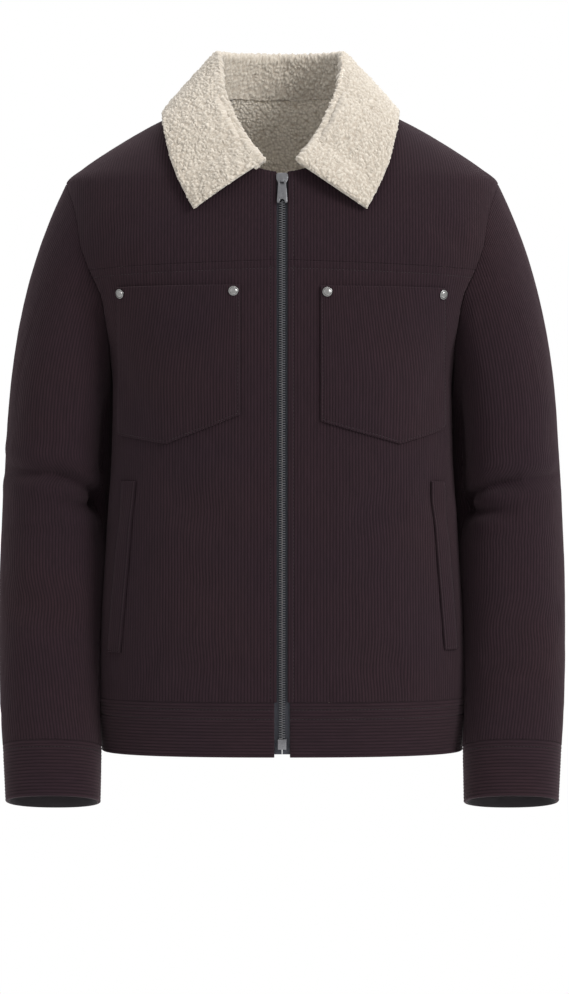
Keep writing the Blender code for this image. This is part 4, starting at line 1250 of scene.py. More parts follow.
def raised(base, normals, ribs, extra):
    """The face of the cloth: ribs, a little uneven, and the relief of seams and stitches."""
    uneven = 1 + WALE_UNEVEN * waves(base, UNEVEN_SIZE, 3)
    height = WALE_HEIGHT * (ribs * uneven - 1.0) + extra
    return base + normals * height[..., None]


def armhole_mitre(normals, z, at, side, back):
    """Turns the wall at the armhole into the seam's own direction, so that two walls meet there."""
    share = (TIP_Z - z[at]) / (TIP_Z - UNDERARM_Z)
    turn = np.degrees(np.arccos(np.clip(1 - 2 * share, -1.0, 1.0)))
    normals[at] = armhole_normal(360 - turn if back else turn, side)


def in_row(z, row, chosen):
    """Marks the chosen columns of one row."""
    at = np.zeros(z.shape, bool)
    at[row] = chosen
    return at


print("rows every", ROW * 1000, "mm")

# %% [markdown]
# ### The fronts
#
# The lower front runs from the hem band to the yoke seam. Its rolled front edge lies next to the
# zip, with one row of stitches, and another row runs 8 mm under the yoke seam.

# %% Fronts and yokes
EDGE_STITCH = 0.0060


def stitch_on_body(arcs, z, side, back=False):
    """Marks a row of stitches on a body panel."""
    turn = lay(arcs, z, side, back)
    stitch_lines.append((body_point(turn, z), body_normal(turn, z)))


def half_front(name, columns, arcs, z, turn, extra, on_armhole, side):
    """Builds an upper or a lower front from its grid, with a finer inside beside the armhole."""
    ribs = wale(arcs - FRONT_EDGE)
    base, normals = body_point(turn, z), body_normal(turn, z)
    outer = raised(base, normals, ribs, extra)
    armhole_mitre(normals, z, on_armhole, side, False)
    piece = cloth_wall(outer, base - normals * CLOTH, ribs, joined=columns < front_arm_arc)
    make_cloth(name, piece, (CORDUROY, PILE_LINING), base, np.ptp(arcs))


def edge_stitches(low, high, side):
    """The row of stitches beside the zip."""
    run = np.arange(low + 0.003, high, 0.004)
    stitch_on_body(FRONT_EDGE + EDGE_STITCH + 0 * run, run, side)


def front_panel(side, word):
    columns = front_columns(widest())
    seam = lambda a: yoke_seam(np.minimum(a, front_arm_arc))
    arcs, z, turn, edge, on_armhole = low_panel_grid(columns, seam, side, at_high=STITCH_ROWS)
    from_top, from_foot, from_edge = seam(arcs) - z, z - BAND_TOP_Z, arcs - FRONT_EDGE
    extra = (rolled(from_top) + rolled(from_foot) + rolled(from_edge, HEM_ROLL) + rolled(edge)
             + channel(from_edge - EDGE_STITCH)
             + np.where(arcs < front_arm_arc, channel(from_top - STITCH_IN), 0.0))
    half_front("front_cloth_" + word, columns, arcs, z, turn, extra, on_armhole, side)
    run = np.arange(FRONT_EDGE + 0.002, front_arm_arc - 0.002, 0.002)
    stitch_on_body(run, yoke_seam(run) - STITCH_IN, side)
    edge_stitches(BAND_TOP_Z, YOKE_CENTRE_Z - 0.003, side)


def yoke_panel(side, word):
    columns = front_columns(tip_arc_front - QUARTER)
    arcs, z, turn = high_panel_grid(columns, yoke_bottom, front_top, side)
    from_edge = arcs - FRONT_EDGE
    extra = (rolled(z - yoke_bottom(arcs)) + rolled(front_top(arcs) - z) + rolled(from_edge, HEM_ROLL)
             + channel(from_edge - EDGE_STITCH))
    half_front("front_yoke_cloth_" + word, columns, arcs, z, turn, extra,
               in_row(z, 0, columns >= front_arm_arc), side)
    edge_stitches(YOKE_CENTRE_Z, -NECK_DROP - 0.004, side)


for side, word in SIDES:
    yoke_panel(side, word)
    front_panel(side, word)

# %% [markdown]
# ### The back
#
# The back is one piece from the hem band to the collar. Its armholes cut in at mid height, so it is
# laid in two parts that share a row of points at that height and are welded there.

# %% The back
def back_wall(arcs, z, turn, joined, joined_row, fall, on_armhole):
    """Raises the cloth of one part; fall is the relief of its seams."""
    turn[joined_row, joined] = lay(arcs[joined_row, joined], MID_ARM_Z, 1, True)
    z[joined_row, joined] = MID_ARM_Z
    fall[joined_row, joined] = rolled(back_arm_arc - np.abs(arcs[joined_row, joined]))
    ribs = wale(arcs)
    base, normals = body_point(turn, z), body_normal(turn, z)
    outer = raised(base, normals, ribs, fall)
    for side in (-1, 1):
        armhole_mitre(normals, z, on_armhole & (side * arcs > 0), side, True)
    return base, cloth_wall(outer, base - normals * CLOTH, ribs, joined=joined, joined_row=joined_row)


def back_columns(limit):
    count = int(np.ceil(limit / QUARTER))
    columns = np.arange(-count, count + 1) * QUARTER
    return np.clip(columns, -limit, limit), np.abs(columns) < back_arm_arc


def back_low(limit):
    columns, joined = back_columns(limit)
    arcs, z, turn, edge, on_armhole = low_panel_grid(columns, lambda a: MID_ARM_Z + 0 * a, 1, True)
    on_armhole[-1, joined] = False
    fall = rolled(z - BAND_TOP_Z) + rolled(edge)
    return back_wall(arcs, z, turn, joined, -1, fall, on_armhole)


def back_high():
    columns, joined = back_columns(tip_arc_back - QUARTER)
    top = lambda a: back_top(np.abs(a))
    arcs, z, turn = high_panel_grid(columns, back_high_bottom, top, 1, True, ())
    fall = rolled(z - back_high_bottom(arcs) + joined) + rolled(top(arcs) - z)
    return back_wall(arcs, z, turn, joined, 0, fall, in_row(z, 0, ~joined))


def back_panel():
    limit = widest(True)
    low_base, low_wall = back_low(limit)
    high_base, high_wall = back_high()
    thing = make_object("back_cloth", joined_walls(low_wall, high_wall), (CORDUROY, PILE_LINING))
    sew(thing, "back", 2 * limit,
        area_of(low_base) + area_of(high_base))


back_panel()

# %% [markdown]
# ### The hem band
#
# The band is cut across the grain, so its ribs run round the body. It is laid in three lengths, with
# two rows of stitches along its top and a rolled hem.

# %% Hem band
BAND_COLUMN = 0.0055
BAND_STITCHES = (0.0075, 0.0170)


def band_rows(foot, top, last):
    """Heights across a band: four for each rib, and more at both edges."""
    edges = [foot + d for d in EDGE_STEPS] + [top - d for d in EDGE_STEPS]
    return np.unique(np.concatenate((np.arange(foot, top, QUARTER), edges, [foot, last])))[:, None]


def band_length(name, side, back):
    z = band_rows(HEM_Z, BAND_TOP_Z, BAND_TOP_Z - HALF_GAP)
    limit = side_limit(z, back)
    start = -limit if back else BAND_EDGE + 0 * z
    count = int(np.ptp((start[0, 0], limit[0, 0])) / BAND_COLUMN)
    shares = np.linspace(0.0, 1.0, count)
    if not back:
        shares = np.unique(np.concatenate((shares, np.array(EDGE_STEPS) / limit[0, 0])))
    arcs = mix(start, limit, shares[None])
    turn = lay(arcs, z, side, back)
    from_top = BAND_TOP_Z - z
    extra = rolled(z - HEM_Z, HEM_ROLL) + rolled(from_top) + rolled(limit - np.abs(arcs))
    extra = extra + sum(channel(from_top - d) for d in BAND_STITCHES)
    if not back:
        extra = extra + rolled(arcs - start, HEM_ROLL)
    ribs = np.broadcast_to(wale(z - HEM_Z), arcs.shape)
    base, normals = body_point(turn, z), body_normal(turn, z)
    piece = cloth_wall(raised(base, normals, ribs, extra), base - normals * CLOTH, ribs, steps=(8, 1))
    make_cloth(name, piece, (BAND_CORDUROY, PILE_LINING), base)
    for d in BAND_STITCHES:
        stitch_on_body(mix(start[-1], limit[-1], shares), np.full(shares.shape, BAND_TOP_Z - d), side, back)


for side, word in SIDES:
    band_length("waistband_cloth_" + word, side, False)
band_length("waistband_cloth_back", 1, True)

# %% [markdown]
# ## Sleeves and cuffs
#
# Each sleeve is cut in two: a wide top and a narrow under sleeve, seamed at the back and along the
# inner front. Ribs run down from the shoulder, a fixed distance apart, and the seams cut them where
# the sleeve tapers. The elbow gets closer rows, because its creases are sharp.

# %% Sleeve cloth
CAP_ROWS = 42
ELBOW_ROWS = (-0.455, 0.0028)
FOREARM_ROW = 0.0056
SEAM_TURN_GAP = 0.14
TURN_STEP = 1.0
CAP_LENGTH = 0.2
ELBOW_Z = -0.41
ELBOW_HEIGHT = 0.055
ELBOW_EASE = 0.0035


def sleeve_heights():
    """Heights of the tube's rows, from the join down to the cuff seam."""
    foot = CUFF_TOP_Z + HALF_GAP
    elbow = np.arange(SLEEVE_JOIN_Z, ELBOW_ROWS[0], -ELBOW_ROWS[1])
    forearm = np.arange(elbow[-1] - FOREARM_ROW, foot + 0.003, -FOREARM_ROW)
    return np.concatenate((elbow, forearm, foot + np.array(sorted(EDGE_STEPS, reverse=True)), [foot]))


def sleeve_cloth(name, side, start, end):
    fine = np.append(np.arange(start + SEAM_TURN_GAP, end, TURN_STEP), end - SEAM_TURN_GAP)
    heights = sleeve_heights()
    middle = int(np.argmin(np.abs(fine - (start + end) / 2)))
    runs = run_along(sleeve_ring_point(fine[None], heights[:, None], side), 1)
    runs = runs - runs[:, middle:middle + 1]
    reach = int(np.abs(runs).max() / QUARTER) + 1
    columns = np.arange(-reach, reach + 1) * QUARTER
    tube_turns = np.array([np.interp(columns, run, fine) for run in runs])
    arcs = np.clip(columns, runs[:, :1], runs[:, -1:])
    downs = np.linspace(0.0, 1.0, CAP_ROWS + 1)[:-1]
    downs = np.sort(np.concatenate((downs, np.array(EDGE_STEPS) / CAP_LENGTH)))
    downs, cap_turns = np.broadcast_arrays(downs[:, None], tube_turns[:1])
    cap_out = cap_normal(cap_turns, downs, side)
    cap_out[0] = armhole_normal(cap_turns[0], side)
    tube_heights = np.broadcast_to(heights[:, None], tube_turns.shape)
    base = np.concatenate((cap_point(cap_turns, downs, side),
                           sleeve_ring_point(tube_turns, tube_heights, side)))
    normals = np.concatenate((cap_out, tube_normal(tube_turns, tube_heights, side)))
    turns = np.concatenate((cap_turns, tube_turns))
    down_cloth = run_along(base)
    from_seam = np.radians(np.minimum(turns - fine[0], fine[-1] - turns)) * SLEEVE_RADIUS
    extra = rolled(down_cloth) + rolled(down_cloth[-1] - down_cloth) + rolled(from_seam)
    ribs = wale(np.concatenate((np.broadcast_to(arcs[0], cap_turns.shape), arcs)))
    outer = raised(base, normals, ribs, extra)
    at_elbow = bell(base[..., 2] - ELBOW_Z, ELBOW_HEIGHT)
    inner = base - normals * (CLOTH + ELBOW_EASE * at_elbow)[..., None]
    piece = cloth_wall(outer, inner, ribs, steps=(2, 6))
    make_cloth(name, piece, (CORDUROY, SLEEVE_LINING), base, np.ptp(runs[0]))


for side, word in SIDES:
    sleeve_cloth("top_sleeve_cloth_" + word, side, SEAM_BACK - 360, SEAM_INNER)
    sleeve_cloth("under_sleeve_cloth_" + word, side, SEAM_INNER, SEAM_BACK)

# %% [markdown]
# ### Cuffs
#
# A cuff is a straight band, cut across the grain and closed into a ring. Its lower edge is rolled.

# %% Cuffs
CUFF_COLUMNS = 84
CUFF_STITCH = 0.0070


def cuff_cloth(side, word):
    foot = CUFF_TOP_Z - CUFF_LENGTH
    top = CUFF_TOP_Z - HALF_GAP
    turns = np.arange(CUFF_COLUMNS) * 360.0 / CUFF_COLUMNS
    turn, z = np.broadcast_arrays(turns[None], band_rows(foot, top, top))
    base, normals = sleeve_ring_point(turn, z, side), tube_normal(turn, z, side)
    extra = rolled(z - foot, HEM_ROLL) + rolled(top - z) + channel(top - z - CUFF_STITCH)
    ribs = wale(z - foot)
    outer = raised(base, normals, ribs, extra)
    piece = cloth_wall(outer, base - normals * CLOTH, ribs, steps=(8, 2), closed=True)
    make_cloth("cuff_cloth_" + word, piece, (BAND_CORDUROY, SLEEVE_LINING), base)
    line = np.arange(0.0, 361.0, 4.0)
    height = top - CUFF_STITCH + 0 * line
    stitch_lines.append((sleeve_ring_point(line, height, side), tube_normal(line, height, side)))


for side, word in SIDES:
    cuff_cloth(side, word)

# %% [markdown]
# ## Patch pockets and welts
#
# A chest pocket is a patch with a pointed foot, sewn 2.4 mm in from its edge. Its columns spread
# between two upright lines on the front, and its rows between its foot and its mouth. A welt is
# laid in the same way, on a slant. The rolled edge casts the thin shadow that draws a pocket.

# %% Pockets
CHEST_POCKETS = rows_of(
    "side inner outer top inner_foot point_x point outer_foot",
    (-1, 0.0420, 0.1665, -0.2025, -0.3325, 0.1090, -0.3615, -0.3510),
    (1, 0.0385, 0.1655, -0.2035, -0.3390, 0.1110, -0.3615, -0.3440),
)
WELTS = rows_of(
    "side top_z top_x foot_z foot_x width",
    (-1, -0.399, 0.1475, -0.573, 0.1630, 0.024),
    (1, -0.399, 0.1500, -0.570, 0.1640, 0.024),
)
PATCH_STITCH = 0.0024
PATCH_ROWS = EDGE_STEPS + (0.0018, PATCH_STITCH, 0.0030, 0.0040)


def spread_shares(width):
    """Shares across a patch: one every quarter rib, and more at both rolled edges."""
    edges = np.array(EDGE_STEPS) / width
    columns = np.arange(0, width, QUARTER) / width
    return np.unique(np.round(np.concatenate((columns, edges, 1 - edges, [1.0])), 6))


def patch_stitches(base, normals, shares, width):
    """Rows of stitches along the sides and the foot, read from the patch's own grid."""
    near = int(np.argmin(np.abs(shares * width - PATCH_STITCH)))
    low = 1 + PATCH_ROWS.index(PATCH_STITCH)
    rows, run = slice(low, len(base) - 2), slice(near, len(shares) - near)
    for at in ((rows, near), (rows, len(shares) - 1 - near), (low, run)):
        stitch_lines.append((base[at], normals[at]))


def sew_patch(name, turn, z, shares, width, from_foot, from_top):
    """Builds a patch from a grid of turns and heights, and distances from its foot and its top."""
    side_edge = np.minimum(shares, 1 - shares) * width
    extra = (rolled(side_edge) + rolled(from_foot) + rolled(from_top)
             + channel(side_edge - PATCH_STITCH) + channel(from_foot - PATCH_STITCH))
    normals = body_normal(turn, z)
    base = body_point(turn, z) + normals * (PATCH_LIFT + PATCH)
    ribs = np.broadcast_to(wale(shares * width), z.shape)
    piece = cloth_wall(raised(base, normals, ribs, extra), base - normals * PATCH, ribs)
    make_cloth(name, piece, (CORDUROY, CORDUROY), base)
    patch_stitches(base, normals, shares, width)


def pocket_foot(p, share):
    at_point = (p.point_x - p.inner) / (p.outer - p.inner)
    inner_part = mix(p.inner_foot, p.point, share / at_point)
    outer_part = mix(p.point, p.outer_foot, (share - at_point) / (1 - at_point))
    return np.where(share < at_point, inner_part, outer_part)


def chest_pocket(p, word):
    middle_z = (p.top + p.point) / 2
    inner, outer = (float(arc_of(turn_at_x(x, middle_z), middle_z)) for x in (p.inner, p.outer))
    width = outer - inner
    shares = spread_shares(width)
    foot = pocket_foot(p, shares)
    z = steps_between(foot, p.top + 0 * foot, ROW, PATCH_ROWS, EDGE_STEPS)
    turn = p.side * mix(turn_at_x(p.inner, z), turn_at_x(p.outer, z), shares)
    sew_patch("chest_pocket_cloth_" + word, turn, z, shares, width, z - foot, p.top - z)


def hand_pocket_welt(w, word):
    shares = spread_shares(w.width)
    z = steps_between(w.foot_z + 0 * shares, w.top_z + 0 * shares, ROW, PATCH_ROWS, EDGE_STEPS)
    start = turn_at_x(mix(w.foot_x, w.top_x, (z - w.foot_z) / (w.top_z - w.foot_z)), z)
    reach = np.linalg.norm(body_point(start, z)[..., :2], axis=-1)
    turn = w.side * (start + shares * w.width / reach)
    sew_patch("hand_pocket_welt_cloth_" + word, turn, z, shares, w.width, z - w.foot_z, w.top_z - z)


for (_, word), pocket, welt in zip(SIDES, CHEST_POCKETS, WELTS):
    chest_pocket(pocket, word)
    hand_pocket_welt(welt, word)

# %% [markdown]
# ## The pile collar
#
# The collar stands up from the neckline, rolls over and falls on the shoulders. Its middle surface
# is the same as the solid's. It gets the round body of a thick pile by a pillow profile, full inside
# and falling to nothing at the free edges, and then the tufts are raised on that.

# %% Middle surface of the collar
COLLAR = rows_of(
    "turn roll_x roll_y roll_z edge_x edge_y edge_z",
    (0, 0.0, 0.0600, 0.0500, 0.0, 0.1240, -0.0420),
    (40, 0.0370, 0.0500, 0.0495, 0.0650, 0.1170, -0.0430),
    (70, 0.0600, 0.0270, 0.0480, 0.1030, 0.0800, -0.0330),
    (90, 0.0645, 0.0030, 0.0455, 0.1160, 0.0200, -0.0170),
    (115, 0.0625, -0.0350, 0.0160, 0.1165, -0.0500, -0.0340),
    (140, 0.0520, -0.0680, -0.0200, 0.1110, -0.0900, -0.0660),
    (160, 0.0385, -0.0890, -0.0480, 0.1000, -0.1070, -0.0950),
    (180, 0.0170, -0.1140, -0.0770, 0.0850, -0.1180, -0.1240),
)
COLLAR_SHIFT = -0.002
COLLAR_FREE_Z = 0.015
FRONT_STAND_END = 0.012
SHOULDER_TURN = 88
NECK_CORNER_TURN = 98
ROLL_RADIUS = 0.0045
FALL_CLEARANCE = 0.0052
FALL_BULGE = 0.0042
FOOT_OVERLAP = 0.0035
EDGE_REACH = 0.0025
COLLAR_COLUMN = 0.0012
STAND_ROWS = 32
ROLL_ROWS = 10
FALL_ROWS = 74
ROUND = (1 - np.cos(np.radians((90, 72, 54, 36, 18, 0)))) * PILE / 2
collar = reader(COLLAR, "turn")


def dot(a, b):
    return (a * b).sum(-1, keepdims=True)


def neck_seam(turn):
    """The neckline; turn 0 is the middle back and 180 the middle front."""
    shoulder = shoulder_turn(NECK_TOP_Z, 1)
    corner = turn_at_x(neck_x(NECK_TOP_Z), NECK_TOP_Z)
    behind = np.clip(turn / SHOULDER_TURN, 0.0, 1.0)
    between = np.clip((turn - SHOULDER_TURN) / (NECK_CORNER_TURN - SHOULDER_TURN), 0.0, 1.0)
    ahead = np.clip((turn - NECK_CORNER_TURN) / (180 - NECK_CORNER_TURN), 0.0, 1.0)
    rise = neck_rise(np.cos(np.pi / 2 * behind))
    low = -NECK_DROP * np.sin(np.radians(mix(4.0, 72.0, ahead)))
    front = turn_at_x(np.maximum(FRONT_STAND_END, neck_x(low)), low)
    z = np.where(turn < NECK_CORNER_TURN, NECK_TOP_Z + rise, low)
    place = np.where(turn < NECK_CORNER_TURN, mix(shoulder, corner, between), front)
    return body_point(np.where(turn < SHOULDER_TURN, mix(np.pi, shoulder, behind), place), z)


def stand_foot(turn, seam, towards):
    """Where the stand starts, close on the neckline's edge."""
    along = neck_seam(np.minimum(180, turn + 1)) - neck_seam(np.maximum(0, turn - 1))
    out = body_normal(np.arctan2(seam[..., 0], -seam[..., 1]), seam[..., 2])
    across = unit(np.cross(out, along))
    inward = dot(across, seam * (1, 1, 0) + (0, 0, -1)) > 0
    across = np.where(inward, -across, across)
    edge = seam - out * CLOTH / 2
    direction = unit(towards - edge)
    lean = np.linalg.norm(direction - across * dot(direction, across), axis=-1, keepdims=True)
    return edge + across * (PILE / 2 * lean - FOOT_OVERLAP)


def clear_of_body(p):
    """Moves points of the fall out along the normal until they are clear of the body."""
    on_body = p[..., 2:3] <= COLLAR_FREE_Z
    for _ in range(2):
        turn = np.arctan2(p[..., 0], -p[..., 1])
        normal = body_normal(turn, p[..., 2])
        distance = dot(p - body_point(turn, p[..., 2]), normal)
        p = p + normal * np.maximum(0.0, FALL_CLEARANCE - distance) * on_body
    return p


def collar_rows(turn, side):
    """Rows of the middle surface, from the neckline over the roll to the free edge."""
    shift = np.array((side * COLLAR_SHIFT, 0.0, 0.0))
    roll, edge = (np.stack([collar(line + axis, turn) for axis in "xyz"], -1) + shift
                  for line in ("roll_", "edge_"))
    edge = clear_of_body(edge)
    seam = neck_seam(turn)
    to_seam, to_edge = unit(seam - roll), unit(edge - roll)
    crest = -unit(to_seam + to_edge)
    spread = to_edge - to_seam
    spread = unit(spread - crest * dot(spread, crest))
    heart = roll - crest * ROLL_RADIUS
    inner, outer = heart - spread * ROLL_RADIUS, heart + spread * ROLL_RADIUS
    start = stand_foot(turn, seam, inner)
    rows = [mix(start, inner, k / STAND_ROWS) for k in range(STAND_ROWS)]
    for angle in np.linspace(0.0, np.pi, ROLL_ROWS + 1):
        rows.append(heart + ROLL_RADIUS * (crest * np.sin(angle) - spread * np.cos(angle)))
    bulge = unit(spread + crest * 0.4) * FALL_BULGE
    length = np.linalg.norm(edge - outer, axis=-1, keepdims=True)
    full = 1 + EDGE_REACH / length
    shares = [(full - PILE / 2 / length) * k / FALL_ROWS for k in range(1, FALL_ROWS)]
    for t in shares + [full - d / length for d in ROUND]:
        rows.append(clear_of_body(mix(outer, edge, t) + bulge * 4 * t * (1 - t)))
    return np.array(rows)


def collar_middle(turns):
    """Both halves: a negative turn is the left side, mirrored."""
    left = collar_rows(-turns[turns < 0], -1) * (-1, 1, 1)
    return np.concatenate((left, collar_rows(turns[turns >= 0], 1)), axis=1)


trial = np.arange(-180.0, 180.1, 1.0)
collar_run = run_along(collar_middle(trial)[-FALL_ROWS // 2])
print("collar is", round(collar_run[-1], 3), "m round the middle of its fall")

# %% [markdown]
# ### Tufts
#
# Sherpa is a knit whose pile is boiled into little tufts, 3 to 4 mm across. Each cell of a jittered
# lattice holds one tuft. The distance to the nearest heart gives its dome, and the distance to the
# next one says where a crevice is. The lattice is bent first, so the rows don't show.

# %% Tufts
TUFT = 0.0037
SMALL_TUFT = 0.0021
TUFT_HEIGHT = 0.0021
LUMP = 0.0085
LUMP_HEIGHT = 0.0011
BEND = 0.0013
BEND_SIZE = 0.011
JITTER = 0.76
CREVICE = 0.42
DOME = 0.45
EDGE_CURL = 0.75
INNER_FULLNESS = 0.35


def hashed(cell, salt):
    """A repeatable random number from 0 to 1 for each cell."""
    return np.modf(np.abs(np.sin(cell @ np.array((127.1, 311.7, 74.7)) + salt * 19.19)) * 43758.5453)[0]


def tufts(p, size, salt):
    """1 on the top of a tuft and 0 in the crevices between tufts."""
    q = p / size
    nearest = np.full(p.shape[:-1], 9.0)
    second = nearest.copy()
    for offset in np.ndindex(3, 3, 3):
        cell = np.floor(q) + np.array(offset) - 1.0
        jitter = np.stack([hashed(cell, salt + k) for k in range(3)], -1)
        heart = cell + ((1 - JITTER) / 2 + JITTER * jitter)
        away = np.linalg.norm(q - heart, axis=-1)
        second = np.minimum(second, np.maximum(nearest, away))
        nearest = np.minimum(nearest, away)
    return ease((second - nearest) / CREVICE) * (1 - DOME * nearest ** 2)


def bent(p):
    return p + BEND * np.stack([waves(p, BEND_SIZE, seed) for seed in (21, 22, 23)], -1)


def tuft_height(p):
    """Height of the pile over its mean, and how much it is a crest."""
    crest = tufts(bent(p), TUFT, 5)
    small = tufts(p, SMALL_TUFT, 9)
    lump = waves(p, LUMP, 31)
    height = TUFT_HEIGHT * (0.78 * crest + 0.22 * small - 0.5) + LUMP_HEIGHT * lump * 0.5
    return height, 0.75 * crest + 0.25 * small


def pillow(distance):
    """The round edge of a thick cloth: 0 at the edge, 1 at half its thickness and on."""
    return np.sqrt(1 - (1 - np.clip(distance / (PILE / 2), 0.0, 1.0)) ** 2)


def face_normals(grid):
    return unit(np.cross(np.gradient(grid, axis=1), np.gradient(grid, axis=0)))


def pile_collar():
    spaced = np.arange(0.0, collar_run[-1], COLLAR_COLUMN)
    spaced = np.unique(np.concatenate((spaced, ROUND, collar_run[-1] - ROUND)))
    turns = np.interp(spaced, collar_run, trial)
    middle = collar_middle(turns)
    normals = face_normals(middle)
    to_edge = run_along(middle[::-1])[::-1]
    to_end = np.minimum(spaced, spaced[-1] - spaced)
    full = pillow(to_edge) * pillow(to_end)
    surface = middle + normals * (PILE / 2 * full)[..., None]
    height, crest = tuft_height(surface)
    outer = surface + face_normals(surface) * (height * mix(EDGE_CURL, 1.0, full))[..., None]
    inner = middle - normals * (PILE / 2 * np.maximum(full, INNER_FULLNESS))[..., None]
    # The crest value goes on each point, and the collar's material paints shade into the crevices from it.
    piece = cloth_wall(outer, inner, crest, steps=(4, 6))
    thing = make_object("collar_pile", piece, (PILE_COLLAR, PILE_LINING), 80, "nub")
    sew(thing, "collar", longest(middle, 1), area_of(middle))


pile_collar()

# %% [markdown]
# ## Stitches
#
# Every seam left its row as a line of points and normals. The rows are cut into stitches 2.9 mm long
# that dip into the cloth at both ends. They are one mesh, in thread of the cloth's own colour.

# %% Stitches
STITCH_PITCH = 0.0037
STITCH_LENGTH = 0.0029
THREAD_RADIUS = 0.00032
STITCH_RAISE = -0.00050
STITCH_DIP = 0.00045
AIM_STEP = 0.0004


def read_at(places, run, values):
    """Values of a line at some distances along it."""
    return np.stack([np.interp(places, run, values[:, k]) for k in range(3)], -1)


def stitches_on(points, normals):
    """Small bent rods along a line: three rings of four points each."""
    run = run_along(points)
    count = int(run[-1] / STITCH_PITCH)
    middles = (np.arange(count) + 0.5) * run[-1] / max(count, 1)
    rings = []
    for share, radius, dip in ((-0.5, 0.55, 1.0), (0.0, 1.0, 0.0), (0.5, 0.55, 1.0)):
        at = middles + share * STITCH_LENGTH
        up = unit(read_at(at, run, normals))
        ahead = read_at(at + AIM_STEP, run, points) - read_at(at - AIM_STEP, run, points)
        across = unit(np.cross(ahead, up))
        spot = read_at(at, run, points) + up * (STITCH_RAISE - STITCH_DIP * dip)
        reach = THREAD_RADIUS * radius
        rings.append(np.stack([spot + way * reach for way in (across, up, -across, -up)], 1))
    return np.stack(rings, 1)


def rods(corners):
    """Mesh of many rods from an array (rods, rings, sides, 3)."""
    index, sides, quads = numbered(corners.shape[:3]), corners.shape[2], []
    for k in range(sides):
        m = (k + 1) % sides
        quad = (index[:, :-1, k], index[:, :-1, m], index[:, 1:, m], index[:, 1:, k])
        quads.append(np.stack(quad, -1).reshape(-1, 4))
    caps = index[:, 0, ::-1].tolist() + index[:, -1].tolist()
    return Piece(corners.reshape(-1, 3), np.concatenate(quads).tolist() + caps, [], None)


rows_of_stitches = np.concatenate([stitches_on(*line) for line in stitch_lines])
seams = make_object("stitches", rods(rows_of_stitches), (THREAD,))
loose(seams)
print(len(stitch_lines), "rows,", len(rows_of_stitches), "stitches")

# %% [markdown]
# ## The zip
#
# The tapes are cloth. On them sit two rows of metal teeth, 2.4 mm apart in a row and half a step
# between the rows. Everything metal is drawn flat in a frame that stands on the middle front, with
# X to the right, Y up along the cloth and Z out from it.

# %% Zip measures and its frame
TAPE_DEPTH = -0.0034
TAPE_THICK = 0.0010
TAPE_INNER = 0.0003
TAPE_OUTER = 0.0150
TAPE_TOP_Z = -0.0866
TAPE_FOOT_Z = -0.6740
CHAIN_HALF = 0.0033
CHAIN_FACE = 0.0002
CHAIN_BACK = -0.0029
CHAIN_TOP_Z = -0.0932
CHAIN_FOOT_Z = -0.6575
BOX_FOOT_Z = -0.6688
BOX_HALF = 0.0044
SLIDER_Z = -0.0955
PLATE_FACE = 0.0021
PLATE_BACK = 0.0005
REAR_PLATE_FACE = -0.0048
REAR_PLATE_BACK = -0.0062
POST_HALF = 0.0014
BAIL_HALF = 0.0015
BAIL_HIGH = 0.0058
BAIL_GAP_HIGH = 0.0046
PIN_UP = -0.00175
PIN_DEPTH = 0.00335
PULL_THICK = 0.0015
PULL_LENGTH = 0.0245
PULL_REST_TILT = 3.0
TOOTH_PITCH = 0.0024
TOOTH_TALL = 0.00098
TOOTH_REACH = 0.0008
TOOTH_CHAMFER = 0.00028
TOOTH_SHOULDER = 0.00030
TOOTH_TOP = (0.88, 0.66)
BEVEL = 0.00025
PIN_ROOM = 0.00135
LEG = 0.0012


def front_frame(z):
    """Axes at the middle front as a matrix."""
    out = Vector(body_normal(0.0, z))
    right = Vector((1.0, 0.0, 0.0))
    frame = Matrix((right, out.cross(right).normalized(), out)).transposed().to_4x4()
    frame.translation = body_point(0.0, z)
    return frame


# %% Tapes
def zip_tape(side, word):
    x = np.linspace(TAPE_INNER, TAPE_OUTER, 9)[None]
    z = np.arange(TAPE_FOOT_Z, TAPE_TOP_Z, 0.004)
    z = np.append(z, TAPE_TOP_Z)[:, None]
    turn = side * turn_at_x(x, z)
    normals = body_normal(turn, z + 0 * x)
    base = body_point(turn, z) + normals * TAPE_DEPTH
    flat = np.ones(base.shape[:2])
    piece = cloth_wall(base, base - normals * TAPE_THICK, flat, steps=(2, 2))
    make_cloth("zip_tape_cloth_" + word, piece, (ZIP_TAPE, ZIP_TAPE), base)


for side, word in SIDES:
    zip_tape(side, word)

# %% [markdown]
# ### Teeth
#
# A tooth is an eight-cornered prism with a bevelled top: three loops of points and two caps. Its
# nose reaches over the middle line, where the other row's teeth lie beside it.

# %% Teeth
def tooth_loops():
    """Loops of a tooth of the right row: X from its nose to its root, Y up, Z out."""
    x0, x1, y, chamfer = -TOOTH_REACH, CHAIN_HALF, TOOTH_TALL / 2, TOOTH_CHAMFER
    outline = np.array(((x0 + chamfer, -y), (x1 - chamfer, -y), (x1, -y + chamfer), (x1, y - chamfer),
                        (x1 - chamfer, y), (x0 + chamfer, y), (x0, y - chamfer), (x0, -y + chamfer)))
    heart = outline.mean(axis=0)
    top = heart + (outline - heart) * TOOTH_TOP
    loops = ((outline, CHAIN_BACK), (outline, CHAIN_FACE - TOOTH_SHOULDER), (top, CHAIN_FACE))
    return np.array([np.column_stack((loop, np.full(8, depth))) for loop, depth in loops])


def teeth():
    loops, corners = tooth_loops(), []
    for side in (-1, 1):
        first = CHAIN_FOOT_Z + TOOTH_PITCH * (0.25 if side < 0 else 0.75)
        for z in np.arange(first, CHAIN_TOP_Z - TOOTH_TALL / 2, TOOTH_PITCH):
            frame = np.array(front_frame(z))
            local = loops * (side, 1, 1)
            local = local[:, ::-1] if side < 0 else local
            corners.append(local @ frame[:3, :3].T + frame[:3, 3])
    return np.array(corners)


chain = make_object("zip_teeth", rods(teeth()), (GUNMETAL,), 40)
loose(chain, node="zip_chain")

